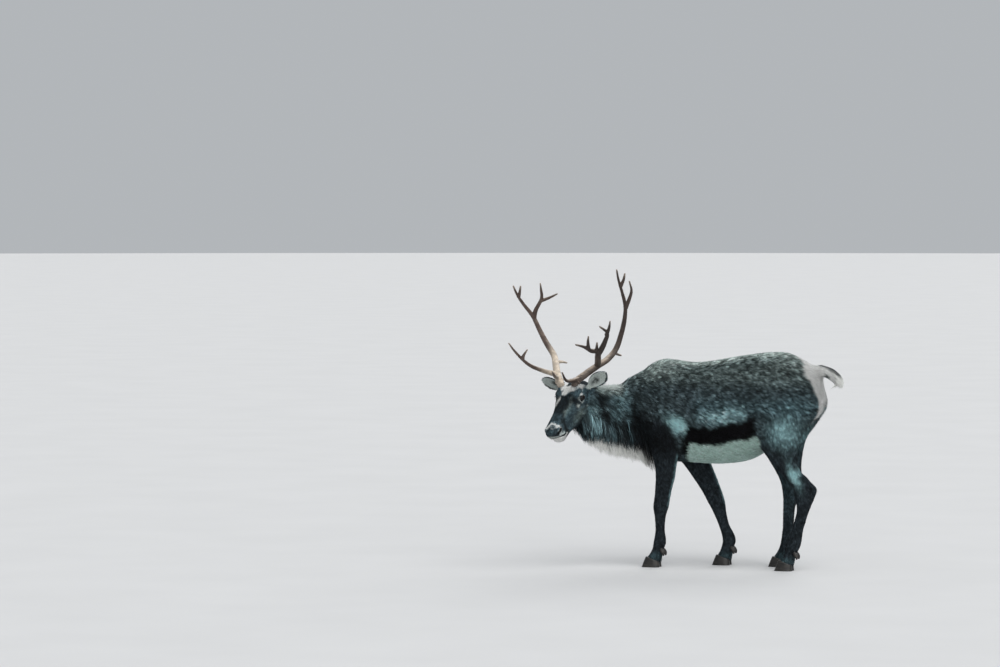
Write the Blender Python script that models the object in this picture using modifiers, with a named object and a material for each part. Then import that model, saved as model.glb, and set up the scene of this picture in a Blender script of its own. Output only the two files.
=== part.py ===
"""Life-size still model of a young barren-ground caribou bull, a reindeer, looking to its left.

The animal faces -X with its left side toward -Y, and stands with its hooves on z = 0.
The flesh is made whole from lofts melted into one surface, and then parted with thin flat cuts.
All lengths are metres, and all angles degrees until they reach a trigonometric function.
"""

import math
import random

import bmesh
import bpy
import numpy as np
from mathutils import Matrix, Vector
from mathutils.bvhtree import BVHTree

OBJECT_NAME = "reindeer"

# Segments round a ball and rings from pole to pole, for swellings and eyes, the lids that
# cover the eyes, and small openings.
BALL_SEGMENTS = 14
BALL_RINGS = 8
LID_SEGMENTS = 18
LID_RINGS = 12
SMALL_SEGMENTS = 10
SMALL_RINGS = 6

# Gap kept between the faces of neighbouring pieces.
GAP = 0.0003

# Height of the sloping cut between each leg and its hooves.
CORONET_HEIGHT = 0.048
CORONET_SLOPE = 20.0

# Fineness of the melted surfaces, and the share of their faces that is kept.
BODY_VOXEL = 0.011
BODY_SOFTENING = 7
BODY_KEEP = 0.075
HEAD_VOXEL = 0.0055
HEAD_SOFTENING = 5
HEAD_KEEP = 0.046

# Trunk sections from chest to buttocks: x, back line, belly line, half width.
TRUNK_WIDEST_HEIGHT = 0.85
TRUNK = (
    (-0.56, 0.930, 0.700, 0.100),
    (-0.50, 1.078, 0.625, 0.155),
    (-0.44, 1.140, 0.596, 0.172),
    (-0.36, 1.162, 0.582, 0.182),
    (-0.21, 1.140, 0.575, 0.192),
    (-0.05, 1.160, 0.572, 0.206),
    (0.10, 1.189, 0.592, 0.208),
    (0.22, 1.203, 0.650, 0.196),
    (0.32, 1.205, 0.710, 0.180),
    (0.42, 1.160, 0.800, 0.150),
    (0.49, 1.105, 0.870, 0.108),
    (0.535, 1.030, 0.930, 0.058),
)

# Neck sections from inside the chest to inside the head: centre x, y, z, half width, above, below.
NECK = (
    (-0.40, 0.000, 0.880, 0.140, 0.235, 0.270),
    (-0.52, -0.020, 0.860, 0.138, 0.192, 0.235),
    (-0.62, -0.055, 0.845, 0.125, 0.165, 0.185),
    (-0.70, -0.115, 0.865, 0.108, 0.155, 0.165),
    (-0.760, -0.190, 0.895, 0.093, 0.125, 0.135),
    (-0.795, -0.260, 0.930, 0.078, 0.100, 0.110),
)

# Leg sections from the body down: z, front x, back x, middle y, half width. The y is that of
# a leg on the +Y side.
LEGS = {
    "foreleg_left": (
        (1.000, -0.450, -0.250, 0.105, 0.062),
        (0.850, -0.468, -0.250, 0.115, 0.068),
        (0.750, -0.460, -0.245, 0.121, 0.065),
        (0.680, -0.440, -0.248, 0.124, 0.058),
        (0.600, -0.405, -0.268, 0.126, 0.049),
        (0.510, -0.396, -0.281, 0.125, 0.042),
        (0.400, -0.402, -0.307, 0.123, 0.037),
        (0.336, -0.410, -0.319, 0.122, 0.038),
        (0.280, -0.402, -0.336, 0.121, 0.031),
        (0.210, -0.398, -0.340, 0.120, 0.027),
        (0.140, -0.408, -0.334, 0.120, 0.033),
        (0.090, -0.420, -0.350, 0.120, 0.032),
        (0.040, -0.455, -0.360, 0.120, 0.041),
        (0.020, -0.460, -0.365, 0.120, 0.041),
    ),
    "foreleg_right": (
        (1.000, -0.450, -0.240, 0.105, 0.062),
        (0.850, -0.450, -0.230, 0.115, 0.068),
        (0.750, -0.435, -0.190, 0.121, 0.065),
        (0.680, -0.395, -0.175, 0.124, 0.058),
        (0.600, -0.336, -0.155, 0.126, 0.049),
        (0.510, -0.266, -0.118, 0.125, 0.042),
        (0.417, -0.201, -0.080, 0.123, 0.037),
        (0.355, -0.166, -0.060, 0.122, 0.038),
        (0.300, -0.134, -0.052, 0.121, 0.031),
        (0.230, -0.103, -0.035, 0.120, 0.027),
        (0.150, -0.076, 0.003, 0.120, 0.033),
        (0.090, -0.086, -0.010, 0.120, 0.032),
        (0.040, -0.115, -0.020, 0.120, 0.041),
        (0.020, -0.120, -0.025, 0.120, 0.041),
    ),
    "hindleg_left": (
        (1.020, 0.200, 0.500, 0.095, 0.085),
        (0.930, 0.175, 0.535, 0.098, 0.090),
        (0.850, 0.158, 0.515, 0.103, 0.085),
        (0.780, 0.152, 0.460, 0.108, 0.076),
        (0.720, 0.168, 0.432, 0.112, 0.067),
        (0.650, 0.218, 0.412, 0.114, 0.057),
        (0.570, 0.286, 0.425, 0.115, 0.047),
        (0.500, 0.348, 0.482, 0.115, 0.042),
        (0.455, 0.382, 0.520, 0.115, 0.039),
        (0.400, 0.394, 0.508, 0.115, 0.034),
        (0.335, 0.405, 0.480, 0.115, 0.030),
        (0.240, 0.384, 0.450, 0.115, 0.028),
        (0.150, 0.355, 0.434, 0.115, 0.033),
        (0.090, 0.336, 0.408, 0.115, 0.032),
        (0.040, 0.300, 0.396, 0.115, 0.041),
        (0.020, 0.295, 0.391, 0.115, 0.041),
    ),
    "hindleg_right": (
        (1.020, 0.200, 0.500, 0.095, 0.085),
        (0.930, 0.175, 0.535, 0.098, 0.090),
        (0.850, 0.143, 0.505, 0.103, 0.085),
        (0.780, 0.130, 0.450, 0.108, 0.076),
        (0.720, 0.132, 0.412, 0.112, 0.067),
        (0.650, 0.157, 0.390, 0.114, 0.057),
        (0.570, 0.205, 0.378, 0.115, 0.047),
        (0.500, 0.245, 0.384, 0.115, 0.042),
        (0.455, 0.263, 0.390, 0.115, 0.039),
        (0.400, 0.270, 0.372, 0.115, 0.034),
        (0.335, 0.272, 0.345, 0.115, 0.030),
        (0.240, 0.271, 0.338, 0.115, 0.028),
        (0.150, 0.262, 0.339, 0.115, 0.033),
        (0.090, 0.243, 0.315, 0.115, 0.032),
        (0.040, 0.208, 0.304, 0.115, 0.041),
        (0.020, 0.203, 0.299, 0.115, 0.041),
    ),
}

# Tail sections from inside the rump to the tip: centre x, z, half width, half depth.
TAIL = (
    (0.430, 1.095, 0.050, 0.045),
    (0.500, 1.098, 0.038, 0.036),
    (0.550, 1.085, 0.038, 0.032),
    (0.590, 1.060, 0.032, 0.025),
    (0.612, 1.034, 0.018, 0.013),
)

# Where the head's own frame sits: a point midway between the eyes, the way the nose points from
# straight ahead toward the left, how far it points down, and the roll that lifts the left side.
# In that frame a runs forward to the nose, b to the animal's left, and c up to the forehead.
HEAD_CENTRE = (-0.828, -0.345, 0.933)
HEAD_TURN = 80.0
HEAD_PITCH = 34.0
HEAD_ROLL = 3.0

# Skull and upper muzzle sections: a, upper c, lower c, half width.
SKULL = (
    (-0.170, 0.010, -0.110, 0.055),
    (-0.120, 0.040, -0.130, 0.071),
    (-0.060, 0.058, -0.128, 0.080),
    (-0.010, 0.060, -0.115, 0.081),
    (0.040, 0.051, -0.100, 0.072),
    (0.090, 0.041, -0.092, 0.058),
    (0.150, 0.031, -0.090, 0.046),
    (0.200, 0.023, -0.082, 0.046),
    (0.240, 0.013, -0.074, 0.049),
    (0.268, -0.002, -0.064, 0.045),
    (0.286, -0.018, -0.054, 0.032),
)

# How square the sections of skull and jaw are: 2 is an ellipse.
HEAD_FULLNESS = 2.5

# Lower jaw sections: a, upper c, lower c, half width.
JAW = (
    (-0.130, -0.050, -0.145, 0.050),
    (-0.080, -0.050, -0.160, 0.060),
    (-0.020, -0.060, -0.158, 0.056),
    (0.050, -0.060, -0.150, 0.047),
    (0.120, -0.055, -0.128, 0.039),
    (0.180, -0.050, -0.121, 0.038),
    (0.222, -0.048, -0.122, 0.037),
    (0.252, -0.052, -0.106, 0.027),
)

# Rounded swellings melted into the head: centre a, b, c and radii along a, b, c. Each is mirrored.
HEAD_SWELLINGS = (
    ("brow", (-0.020, 0.060, 0.033), (0.036, 0.021, 0.020)),
    ("cheek", (-0.045, 0.054, -0.082), (0.062, 0.026, 0.054)),
    ("orbit", (-0.016, 0.0625, 0.009), (0.036, 0.0225, 0.028)),
    ("cheekbone", (0.018, 0.063, -0.020), (0.048, 0.014, 0.014)),
    ("nostril_rim", (0.248, 0.036, -0.022), (0.028, 0.016, 0.022)),
)

EYE_CENTRE = (-0.016, 0.0660, 0.007)
EYE_RADIUS = 0.0205
EYE_FORWARD_TURN = 28.0
LID_THICKNESS = 0.0030
LID_HALF_LENGTH = 0.0170
LID_OPENING = 0.0105
LID_CUT_START = 0.004
LID_CUT_STEPS = 7

NOSTRIL_CENTRE = (0.264, 0.043, -0.022)
NOSTRIL_RADII = (0.012, 0.011, 0.0065)

# Lip line from the left corner of the mouth round the front of the muzzle, as a, b, c.
LIP_LINE = (
    (0.178, 0.041, -0.076),
    (0.208, 0.042, -0.069),
    (0.240, 0.040, -0.063),
    (0.264, 0.025, -0.059),
    (0.272, 0.000, -0.058),
)
LIP_LINE_RADIUS = 0.0028
LIP_THICKNESS = 0.0075
LIP_RADIUS = 0.0082

# Ear: root and tip in the head's frame, widest half width and wall of the cup.
EARS = {
    "left": ((-0.092, 0.074, 0.008), (-0.112, 0.212, 0.090)),
    "right": ((-0.100, -0.074, 0.004), (-0.116, -0.218, 0.045)),
}
EAR_HALF_WIDTH = 0.034
EAR_STUB = 0.020
EAR_BEND = 0.012
EAR_OUTWARD_TURN = 0.35
EAR_HOLLOW_SHARE = 0.86
# Along the ear from its root: share of the length, of the half width, depth of the back and wall.
EAR_PROFILE = (
    (0.00, 0.46, 0.0150, 0.0150),
    (0.12, 0.66, 0.0190, 0.0110),
    (0.32, 0.92, 0.0210, 0.0065),
    (0.55, 1.00, 0.0190, 0.0055),
    (0.76, 0.76, 0.0130, 0.0050),
    (0.92, 0.38, 0.0070, 0.0045),
    (1.00, 0.08, 0.0030, 0.0028),
)

# Antler routes in the head's frame. Each route names the nodes that it runs through, the lengths
# along it where one node ends and the next begins, its points, and its first and last radius.
PEDICLE = 0.034
STUB = 0.030
ANTLERS = {
    "left": (
        (("head", "beam", "crown"), (PEDICLE, 0.675), 0.0185, 0.0045, (
            (-0.032, 0.036, 0.040), (-0.046, 0.048, 0.084), (-0.100, 0.086, 0.096),
            (-0.180, 0.137, 0.100), (-0.250, 0.166, 0.092), (-0.310, 0.200, 0.116),
            (-0.345, 0.240, 0.185), (-0.370, 0.280, 0.270), (-0.378, 0.310, 0.355),
            (-0.370, 0.326, 0.450), (-0.350, 0.345, 0.555), (-0.320, 0.375, 0.640))),
        (("beam", "bez"), (STUB,), 0.0125, 0.0045, (
            (-0.180, 0.138, 0.105), (-0.142, 0.180, 0.182), (-0.118, 0.206, 0.238),
            (-0.074, 0.198, 0.276), (-0.040, 0.187, 0.326), (0.000, 0.164, 0.372))),
        (("bez",), (), 0.0120, 0.0045, (
            (-0.126, 0.200, 0.218), (-0.120, 0.236, 0.254), (-0.115, 0.280, 0.310),
            (-0.112, 0.312, 0.366), (-0.080, 0.300, 0.433))),
        (("bez",), (), 0.0085, 0.0040, (
            (-0.114, 0.302, 0.350), (-0.110, 0.336, 0.400), (-0.110, 0.358, 0.446))),
        (("bez",), (), 0.0085, 0.0040, (
            (-0.060, 0.194, 0.295), (-0.050, 0.214, 0.350), (-0.050, 0.231, 0.392))),
        (("bez",), (), 0.0095, 0.0040, (
            (-0.112, 0.206, 0.240), (-0.098, 0.224, 0.278), (-0.090, 0.243, 0.320))),
        (("beam",), (), 0.0100, 0.0045, (
            (-0.298, 0.192, 0.108), (-0.330, 0.183, 0.068), (-0.360, 0.187, 0.036))),
        (("beam",), (), 0.0105, 0.0040, (
            (-0.072, 0.066, 0.090), (0.022, 0.044, 0.146), (0.060, 0.058, 0.232))),
        (("beam", "prong"), (STUB,), 0.0105, 0.0040, (
            (-0.377, 0.308, 0.345), (-0.398, 0.336, 0.386), (-0.420, 0.356, 0.430),
            (-0.424, 0.361, 0.492))),
        (("crown",), (), 0.0085, 0.0040, (
            (-0.358, 0.336, 0.500), (-0.374, 0.360, 0.534), (-0.386, 0.376, 0.570))),
    ),
    "right": (
        (("head", "beam", "crown"), (PEDICLE, 0.605), 0.0185, 0.0045, (
            (-0.032, -0.036, 0.040), (-0.046, -0.050, 0.084), (-0.115, -0.092, 0.104),
            (-0.200, -0.136, 0.108), (-0.270, -0.176, 0.117), (-0.320, -0.228, 0.163),
            (-0.352, -0.262, 0.230), (-0.375, -0.288, 0.310), (-0.372, -0.318, 0.400),
            (-0.345, -0.316, 0.480), (-0.320, -0.303, 0.558))),
        (("beam", "bez"), (STUB,), 0.0140, 0.0045, (
            (-0.110, -0.090, 0.098), (-0.062, -0.108, 0.146), (-0.010, -0.119, 0.203),
            (0.040, -0.131, 0.264), (0.078, -0.140, 0.330), (0.108, -0.153, 0.415),
            (0.120, -0.164, 0.480))),
        (("bez",), (), 0.0085, 0.0040, (
            (0.084, -0.141, 0.345), (0.088, -0.118, 0.376), (0.078, -0.090, 0.404))),
        (("beam",), (), 0.0100, 0.0045, (
            (-0.205, -0.138, 0.112), (-0.250, -0.128, 0.082), (-0.292, -0.126, 0.044))),
        (("beam",), (), 0.0105, 0.0040, (
            (-0.078, -0.070, 0.093), (0.002, -0.036, 0.166), (0.052, -0.007, 0.234))),
        (("beam", "prong"), (STUB,), 0.0115, 0.0040, (
            (-0.374, -0.286, 0.300), (-0.386, -0.262, 0.345), (-0.404, -0.212, 0.408),
            (-0.401, -0.192, 0.470), (-0.390, -0.174, 0.522))),
        (("prong",), (), 0.0085, 0.0040, (
            (-0.402, -0.220, 0.396), (-0.424, -0.176, 0.398), (-0.430, -0.116, 0.420))),
        (("crown",), (), 0.0080, 0.0040, (
            (-0.348, -0.317, 0.460), (-0.358, -0.302, 0.490), (-0.366, -0.287, 0.526))),
    ),
}
BURR_RADII = (0.0255, 0.0070)
BURR_CLEAR = 0.0010
ANTLER_STEPS = 3
# Branches thicker than this at the root have more sides than the others.
BEAM_RADIUS = 0.015
THICK_SIDES = 8
THIN_SIDES = 6
ANTLER_TAPER = 0.85
ANTLER_TIP_RADIUS = 0.0022
# Short square stretch at each cut, and how far the route's own points keep from it.
ROUTE_SQUARE = 0.002
ROUTE_CLEAR = 0.008

# Flat parting cuts, as a point and a normal that points at the outer piece.
NECK_CUT = ((-0.490, 0.0, 0.860), (-0.9988, 0.0, -0.050))
TAIL_CUT = ((0.475, 0.0, 1.160), (0.900, 0.0, 0.437))
NAPE = (-0.814, -0.250, 1.040)
JAW_ANGLE = (-0.785, -0.165, 0.860)
HEAD_CELL_HALF_WIDTH = 0.160
HEAD_CUT_SLANT = 0.20
HEAD_CELL_FLOOR = -0.175

# Each leg leaves the trunk at a slanting plane through three points, given for the +Y side, and
# between a front and a rear plane, given by their x at two heights.
FORELEG_CUT = ((-0.47, 0.0, 0.590), (-0.20, 0.0, 0.566), (-0.35, 0.24, 0.950))
HINDLEG_CUT = ((0.145, 0.0, 0.590), (0.44, 0.0, 0.800), (0.30, 0.24, 1.020))
LEG_FRONT = {"foreleg_left": (-0.445, -0.475), "foreleg_right": (-0.445, -0.475),
             "hindleg_left": (0.145, 0.145), "hindleg_right": (0.125, 0.125)}
LEG_REAR = {"foreleg_left": (-0.225, -0.225), "foreleg_right": (-0.215, 0.080),
            "hindleg_left": (0.600, 0.600), "hindleg_right": (0.600, 0.600)}
LEG_PLANE_TOP = 0.95

CLAW_TOE = 0.060
CLAW_HEEL = 0.040
CLAW_HALF_WIDTH = 0.0215
CLAW_APART = 0.0245
CLAW_SPLAY = 7.0
CLAW_SIDES = 12
# Up a claw from its sole: height, then the shares of its toe, its heel and its half width.
CLAW_SECTIONS = (
    (0.000, 1.00, 1.00, 1.00),
    (0.012, 1.00, 1.00, 1.03),
    (0.090, 0.30, 0.85, 0.75),
)
DEWCLAW_RADII = (0.012, 0.010, 0.018)
DEWCLAW_HEIGHT = 0.084
DEWCLAW_APART = 0.021
DEWCLAW_INSET = 0.002
DEWCLAW_TILT = 25.0
DEWCLAW_SEGMENTS = 8
DEWCLAW_RINGS = 5
SHARP_ANGLE = 40.0

# Long white hair: mane locks under the neck, and locks round the tail.
LOCK_SEED = 7
MANE_ROWS = 9
MANE_COLUMNS = 7
MANE_SPREAD = 72.0
# Where the first and last rows stand along the neck, from its root in the chest to its end.
MANE_START = 0.95
MANE_END = 0.24
MANE_SWEEP = 0.45
MANE_LENGTHS = (0.100, 0.132)
# How much shorter the locks are at the throat and at the sides.
MANE_THROAT_CUT = 0.38
MANE_SIDE_CUT = 0.35
MANE_HALF_WIDTH = 0.029
LOCK_WIDTHS = (0.85, 1.15)
TAIL_ROWS = 3
TAIL_COLUMNS = 5
TAIL_START = 0.46
TAIL_STEP = 0.19
TAIL_LENGTHS = (0.042, 0.060)
TAIL_HALF_WIDTH = 0.022
LOCK_THICKNESS = 0.007
LOCK_SINK = 0.014
LOCK_LIFT = 0.35
LOCK_DROOP = 0.25
LOCK_STRAY = 0.16
# Along a lock from its root: share of the length, of the half width and of the thickness.
LOCK_PROFILE = ((0.0, 0.80, 1.0), (0.36, 1.0, 1.0), (0.72, 0.64, 0.8), (0.96, 0.16, 0.35))

COLOURS = {
    "coat": ((0.085, 0.080, 0.075), 0.90),
    "pale": ((0.62, 0.60, 0.56), 0.92),
    "face": ((0.13, 0.115, 0.10), 0.88),
    "horn": ((0.16, 0.085, 0.045), 0.62),
    "hoof": ((0.025, 0.022, 0.020), 0.45),
    "eye": ((0.012, 0.008, 0.006), 0.08),
}


def clear_scene():
    """Remove every object of the scene that the file opens with."""
    for obj in list(bpy.data.objects):
        bpy.data.objects.remove(obj, do_unlink=True)


def make_collection(name):
    collection = bpy.data.collections.new(name)
    bpy.context.scene.collection.children.link(collection)
    return collection


def make_material(name):
    colour, roughness = COLOURS[name]
    material = bpy.data.materials.new(name)
    material.use_nodes = True
    shader = material.node_tree.nodes["Principled BSDF"]
    shader.inputs["Base Color"].default_value = (*colour, 1.0)
    shader.inputs["Roughness"].default_value = roughness
    shader.inputs["Metallic"].default_value = 0.0
    return material


def new_object(name, mesh):
    obj = bpy.data.objects.new(name, mesh)
    WORKSHOP.objects.link(obj)
    return obj


def object_from_bmesh(name, shape):
    bmesh.ops.recalc_face_normals(shape, faces=shape.faces[:])
    mesh = bpy.data.meshes.new(name)
    shape.to_mesh(mesh)
    shape.free()
    return new_object(name, mesh)


def apply_modifiers(obj):
    """Replace an object's mesh by the one that its modifiers make."""
    graph = bpy.context.evaluated_depsgraph_get()
    mesh = bpy.data.meshes.new_from_object(obj.evaluated_get(graph))
    obj.modifiers.clear()
    obj.data = mesh


def keep_largest(obj):
    """Drop every closed surface of a mesh but the one with the most faces."""
    shape = bmesh.new()
    shape.from_mesh(obj.data)
    unseen = set(shape.faces)
    islands = []
    while unseen:
        front = [unseen.pop()]
        island = list(front)
        while front:
            neighbours = {f for edge in front.pop().edges for f in edge.link_faces} & unseen
            unseen -= neighbours
            front.extend(neighbours)
            island.extend(neighbours)
        islands.append(island)
    islands.sort(key=len)
    for island in islands[:-1]:
        bmesh.ops.delete(shape, geom=island, context="FACES")
    shape.to_mesh(obj.data)
    shape.free()


def combine(obj, others, operation, solver="EXACT"):
    """Join other closed objects to obj, or cut them from it, and remove them."""
    cutters = bpy.data.collections.new("cutters")
    bpy.context.scene.collection.children.link(cutters)
    for other in others:
        WORKSHOP.objects.unlink(other)
        cutters.objects.link(other)
    modifier = obj.modifiers.new(operation.title(), "BOOLEAN")
    modifier.operation = operation
    modifier.operand_type = "COLLECTION"
    modifier.collection = cutters
    modifier.solver = solver
    apply_modifiers(obj)
    for other in others:
        bpy.data.objects.remove(other, do_unlink=True)
    bpy.data.collections.remove(cutters)
    keep_largest(obj)


def smooth_rows(rows, steps):
    """Run a Catmull-Rom curve through rows of numbers, with some steps to each span."""
    rows = np.asarray(rows, dtype=float)
    padded = np.vstack([2 * rows[0] - rows[1], rows, 2 * rows[-1] - rows[-2]])
    curve = []
    for p0, p1, p2, p3 in zip(padded, padded[1:], padded[2:], padded[3:]):
        for t in np.arange(steps) / steps:
            curve.append(0.5 * (2 * p1 + (p2 - p0) * t + (2 * p0 - 5 * p1 + 4 * p2 - p3) * t ** 2
                                + (3 * p1 - p0 - 3 * p2 + p3) * t ** 3))
    curve.append(rows[-1])
    return np.array(curve)


def loft(name, rings):
    """Close a row of rings, each with the same number of points, into one solid."""
    shape = bmesh.new()
    rows = [[shape.verts.new(point) for point in ring] for ring in rings]
    for row, after in zip(rows, rows[1:]):
        for i in range(len(row)):
            j = (i + 1) % len(row)
            shape.faces.new((row[i], row[j], after[j], after[i]))
    shape.faces.new(rows[0])
    shape.faces.new(rows[-1])
    return object_from_bmesh(name, shape)


def ring(centre, side, up, half_width, above, below, count=24, fullness=2.0):
    """Points of a rounded outline: a superellipse whose upper and lower halves differ."""
    angles = np.arange(count) * 2 * math.pi / count
    across = np.sign(np.sin(angles)) * np.abs(np.sin(angles)) ** (2 / fullness)
    upright = np.sign(np.cos(angles)) * np.abs(np.cos(angles)) ** (2 / fullness)
    reach = np.where(upright > 0, above, below)
    return (np.asarray(centre) + np.outer(across * half_width, side)
            + np.outer(upright * reach, up))


def ellipsoid(name, centre, radii, axes=Matrix.Identity(3), segments=BALL_SEGMENTS,
              rings=BALL_RINGS):
    """A ball stretched along three axes, the columns of a 3x3 matrix."""
    shape = bmesh.new()
    bmesh.ops.create_uvsphere(shape, u_segments=segments, v_segments=rings, radius=1.0)
    stretch = axes @ Matrix.Diagonal(radii)
    bmesh.ops.transform(shape, matrix=Matrix.Translation(centre) @ stretch.to_4x4(),
                        verts=shape.verts)
    return object_from_bmesh(name, shape)


def branch(name, points, radii, sides=THICK_SIDES):
    """A tapering round branch: a bevelled curve, made a closed mesh."""
    curve = bpy.data.curves.new(name, "CURVE")
    curve.dimensions = "3D"
    curve.bevel_depth = 1.0
    curve.bevel_resolution = (sides - 4) // 2
    curve.use_fill_caps = True
    spline = curve.splines.new("POLY")
    spline.points.add(len(points) - 1)
    for target, point, radius in zip(spline.points, points, radii):
        target.co = (*point, 1.0)
        target.radius = radius
    guide = new_object(name, curve)
    graph = bpy.context.evaluated_depsgraph_get()
    graph.update()
    mesh = bpy.data.meshes.new_from_object(guide.evaluated_get(graph))
    shape = bmesh.new()
    shape.from_mesh(mesh)
    bmesh.ops.remove_doubles(shape, verts=shape.verts[:], dist=0.00001)
    bpy.data.objects.remove(guide, do_unlink=True)
    return object_from_bmesh(name, shape)


def cell(name, planes, reach=2.0):
    """The convex room behind some planes, each a point and a normal that points out of it."""
    shape = bmesh.new()
    bmesh.ops.create_cube(shape, size=2 * reach)
    for point, normal in planes:
        geometry = shape.verts[:] + shape.edges[:] + shape.faces[:]
        cut = bmesh.ops.bisect_plane(shape, geom=geometry, plane_co=point, plane_no=normal,
                                     clear_outer=True)
        rim = [item for item in cut["geom_cut"] if isinstance(item, bmesh.types.BMEdge)]
        bmesh.ops.contextual_create(shape, geom=rim)
    return object_from_bmesh(name, shape)


def grown(planes, distance):
    """The same planes, moved outward."""
    return [(Vector(point) + Vector(normal).normalized() * distance, Vector(normal))
            for point, normal in planes]


def melt(name, pieces, voxel, softening, keep):
    """Melt overlapping closed pieces into one smooth surface with fewer faces."""
    shape = bmesh.new()
    for piece in pieces:
        shape.from_mesh(piece.data)
        bpy.data.objects.remove(piece, do_unlink=True)
    whole = object_from_bmesh(name, shape)
    remesh = whole.modifiers.new("Melt", "REMESH")
    remesh.mode = "VOXEL"
    remesh.voxel_size = voxel
    soften = whole.modifiers.new("Soften", "SMOOTH")
    soften.factor = 0.5
    soften.iterations = softening
    thin = whole.modifiers.new("Thin", "DECIMATE")
    thin.ratio = keep
    apply_modifiers(whole)
    keep_largest(whole)
    return whole


def head_axes():
    """The head's forward, left and up directions as the columns of a matrix."""
    turn = math.radians(HEAD_TURN)
    pitch = math.radians(HEAD_PITCH)
    level = Vector((-math.cos(turn), -math.sin(turn), 0.0))
    forward = level * math.cos(pitch) - Vector((0.0, 0.0, math.sin(pitch)))
    left = Vector((0.0, 0.0, 1.0)).cross(level)
    up = forward.cross(left)
    roll = Matrix.Rotation(math.radians(HEAD_ROLL), 3, forward)
    return Matrix((forward, roll @ left, roll @ up)).transposed()


HEAD_AXES = head_axes()


def from_head(point):
    """World place of a point given in the head's frame."""
    return Vector(HEAD_CENTRE) + HEAD_AXES @ Vector(point)


def mirrored(point):
    """The same place on the head's other side."""
    return (point[0], -point[1], point[2])


def trunk_loft():
    rings = []
    for x, top, bottom, half_width in smooth_rows(TRUNK, 3):
        middle = min(TRUNK_WIDEST_HEIGHT, 0.5 * (top + bottom) + 0.02)
        middle = max(middle, bottom + 0.4 * (top - bottom))
        rings.append(ring((x, 0, middle), (0, 1, 0), (0, 0, 1), half_width,
                          top - middle, middle - bottom, fullness=2.15))
    return loft("trunk", rings)


def neck_loft(name, first=0):
    """The neck, or its last stretch from one of its sections on."""
    rows = smooth_rows(NECK, 3)
    rings = []
    for row, way in list(zip(rows, np.gradient(rows[:, :3], axis=0)))[3 * first:]:
        forward = Vector(way).normalized()
        side = forward.cross(Vector((0, 0, 1))).normalized()
        up = side.cross(forward)
        rings.append(ring(row[:3], side, up, row[3], row[4], row[5]))
    return loft(name, rings)


def leg_side(leg):
    """Which way a leg lies: -1 for the animal's left, 1 for its right."""
    return -1 if leg.endswith("left") else 1


def leg_loft(leg):
    rings = []
    for z, front, back, middle, half_width in smooth_rows(LEGS[leg], 3):
        centre = (0.5 * (front + back), leg_side(leg) * middle, z)
        reach = 0.5 * (back - front)
        rings.append(ring(centre, (0, 1, 0), (1, 0, 0), half_width, reach, reach))
    return loft(leg, rings)


def tail_loft():
    rows = smooth_rows(TAIL, 3)
    rings = []
    for row, way in zip(rows, np.gradient(rows[:, :2], axis=0)):
        x, z, half_width, half_depth = row
        along = Vector((way[0], 0, way[1])).normalized()
        across = Vector((0, 1, 0))
        rings.append(ring((x, 0, z), across, across.cross(along), half_width,
                          half_depth, half_depth, count=16))
    return loft("tail", rings)


def head_loft(name, sections):
    forward, left, up = HEAD_AXES.transposed()
    rings = []
    for a, top, bottom, half_width in smooth_rows(sections, 3):
        centre = from_head((a, 0, 0.5 * (top + bottom)))
        reach = 0.5 * (top - bottom)
        rings.append(ring(centre, left, up, half_width, reach, reach,
                          fullness=HEAD_FULLNESS))
    return loft(name, rings)


def lip_route(lift):
    """The lip line all round the muzzle, raised by some height."""
    left = [(a, b, c + lift) for a, b, c in LIP_LINE]
    right = [mirrored(point) for point in reversed(left[:-1])]
    return [from_head(point) for point in smooth_rows(left + right, 3)]


def coronet(leg):
    """The sloping plane where a leg ends and its hooves begin, as a point and a normal."""
    front, back, middle = LEGS[leg][-2][1:4]
    slope = math.radians(CORONET_SLOPE)
    centre = Vector((0.5 * (front + back), leg_side(leg) * middle, CORONET_HEIGHT))
    return centre, Vector((math.sin(slope), 0, math.cos(slope)))


def leg_planes(leg):
    """The planes that part a leg from the trunk and from its hooves, with their outward normals."""
    side = leg_side(leg)
    points = [Vector((x, side * y, z)) for x, y, z
              in (FORELEG_CUT if leg.startswith("fore") else HINDLEG_CUT)]
    slant = (points[1] - points[0]).cross(points[2] - points[0])
    if slant.z < 0:
        slant.negate()
    planes = [(points[0], slant), ((0, 0, 0), (0, -side, 0))]
    for (upper, lower), way in ((LEG_FRONT[leg], -1), (LEG_REAR[leg], 1)):
        run = Vector((lower - upper, 0, -LEG_PLANE_TOP))
        planes.append(((upper, 0, LEG_PLANE_TOP), run.cross(Vector((0, 1, 0))) * way))
    point, upward = coronet(leg)
    planes.append((point, -upward))
    return planes


def head_planes():
    """The planes that part the head from the neck."""
    forward, left, up = HEAD_AXES.transposed()
    nape = Vector(NAPE)
    normal = (left + forward * HEAD_CUT_SLANT).cross(nape - Vector(JAW_ANGLE))
    if normal.dot(forward) > 0:
        normal.negate()
    planes = [(nape, normal), (from_head((0, 0, HEAD_CELL_FLOOR)), -up)]
    for side in (-1, 1):
        planes.append((from_head((0, side * HEAD_CELL_HALF_WIDTH, 0)), left * side))
    return planes


def lock(surface, start, way, lie, across, length, half_width):
    """One flat tapered lock, rooted where a ray meets a surface and bending down along its lie."""
    place, normal = surface.ray_cast(start, way)[:2]
    root = place - normal * LOCK_SINK
    lift = place + (normal * LOCK_LIFT + lie).normalized() * (length * 0.5)
    tip = place + (lie + Vector((0, 0, -LOCK_DROOP))).normalized() * length
    rings = []
    for t, wide, thick in LOCK_PROFILE:
        centre = root * (1 - t) ** 2 + lift * 2 * t * (1 - t) + tip * t ** 2
        heading = ((lift - root) * (1 - t) + (tip - lift) * t).normalized()
        side = (across - heading * across.dot(heading)).normalized()
        out = side.cross(heading)
        reach = side * (half_width * wide)
        rise = out * (LOCK_THICKNESS * thick)
        rings.append([centre + reach, centre + rise, centre - reach, centre - rise])
    return loft("lock", rings)


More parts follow.
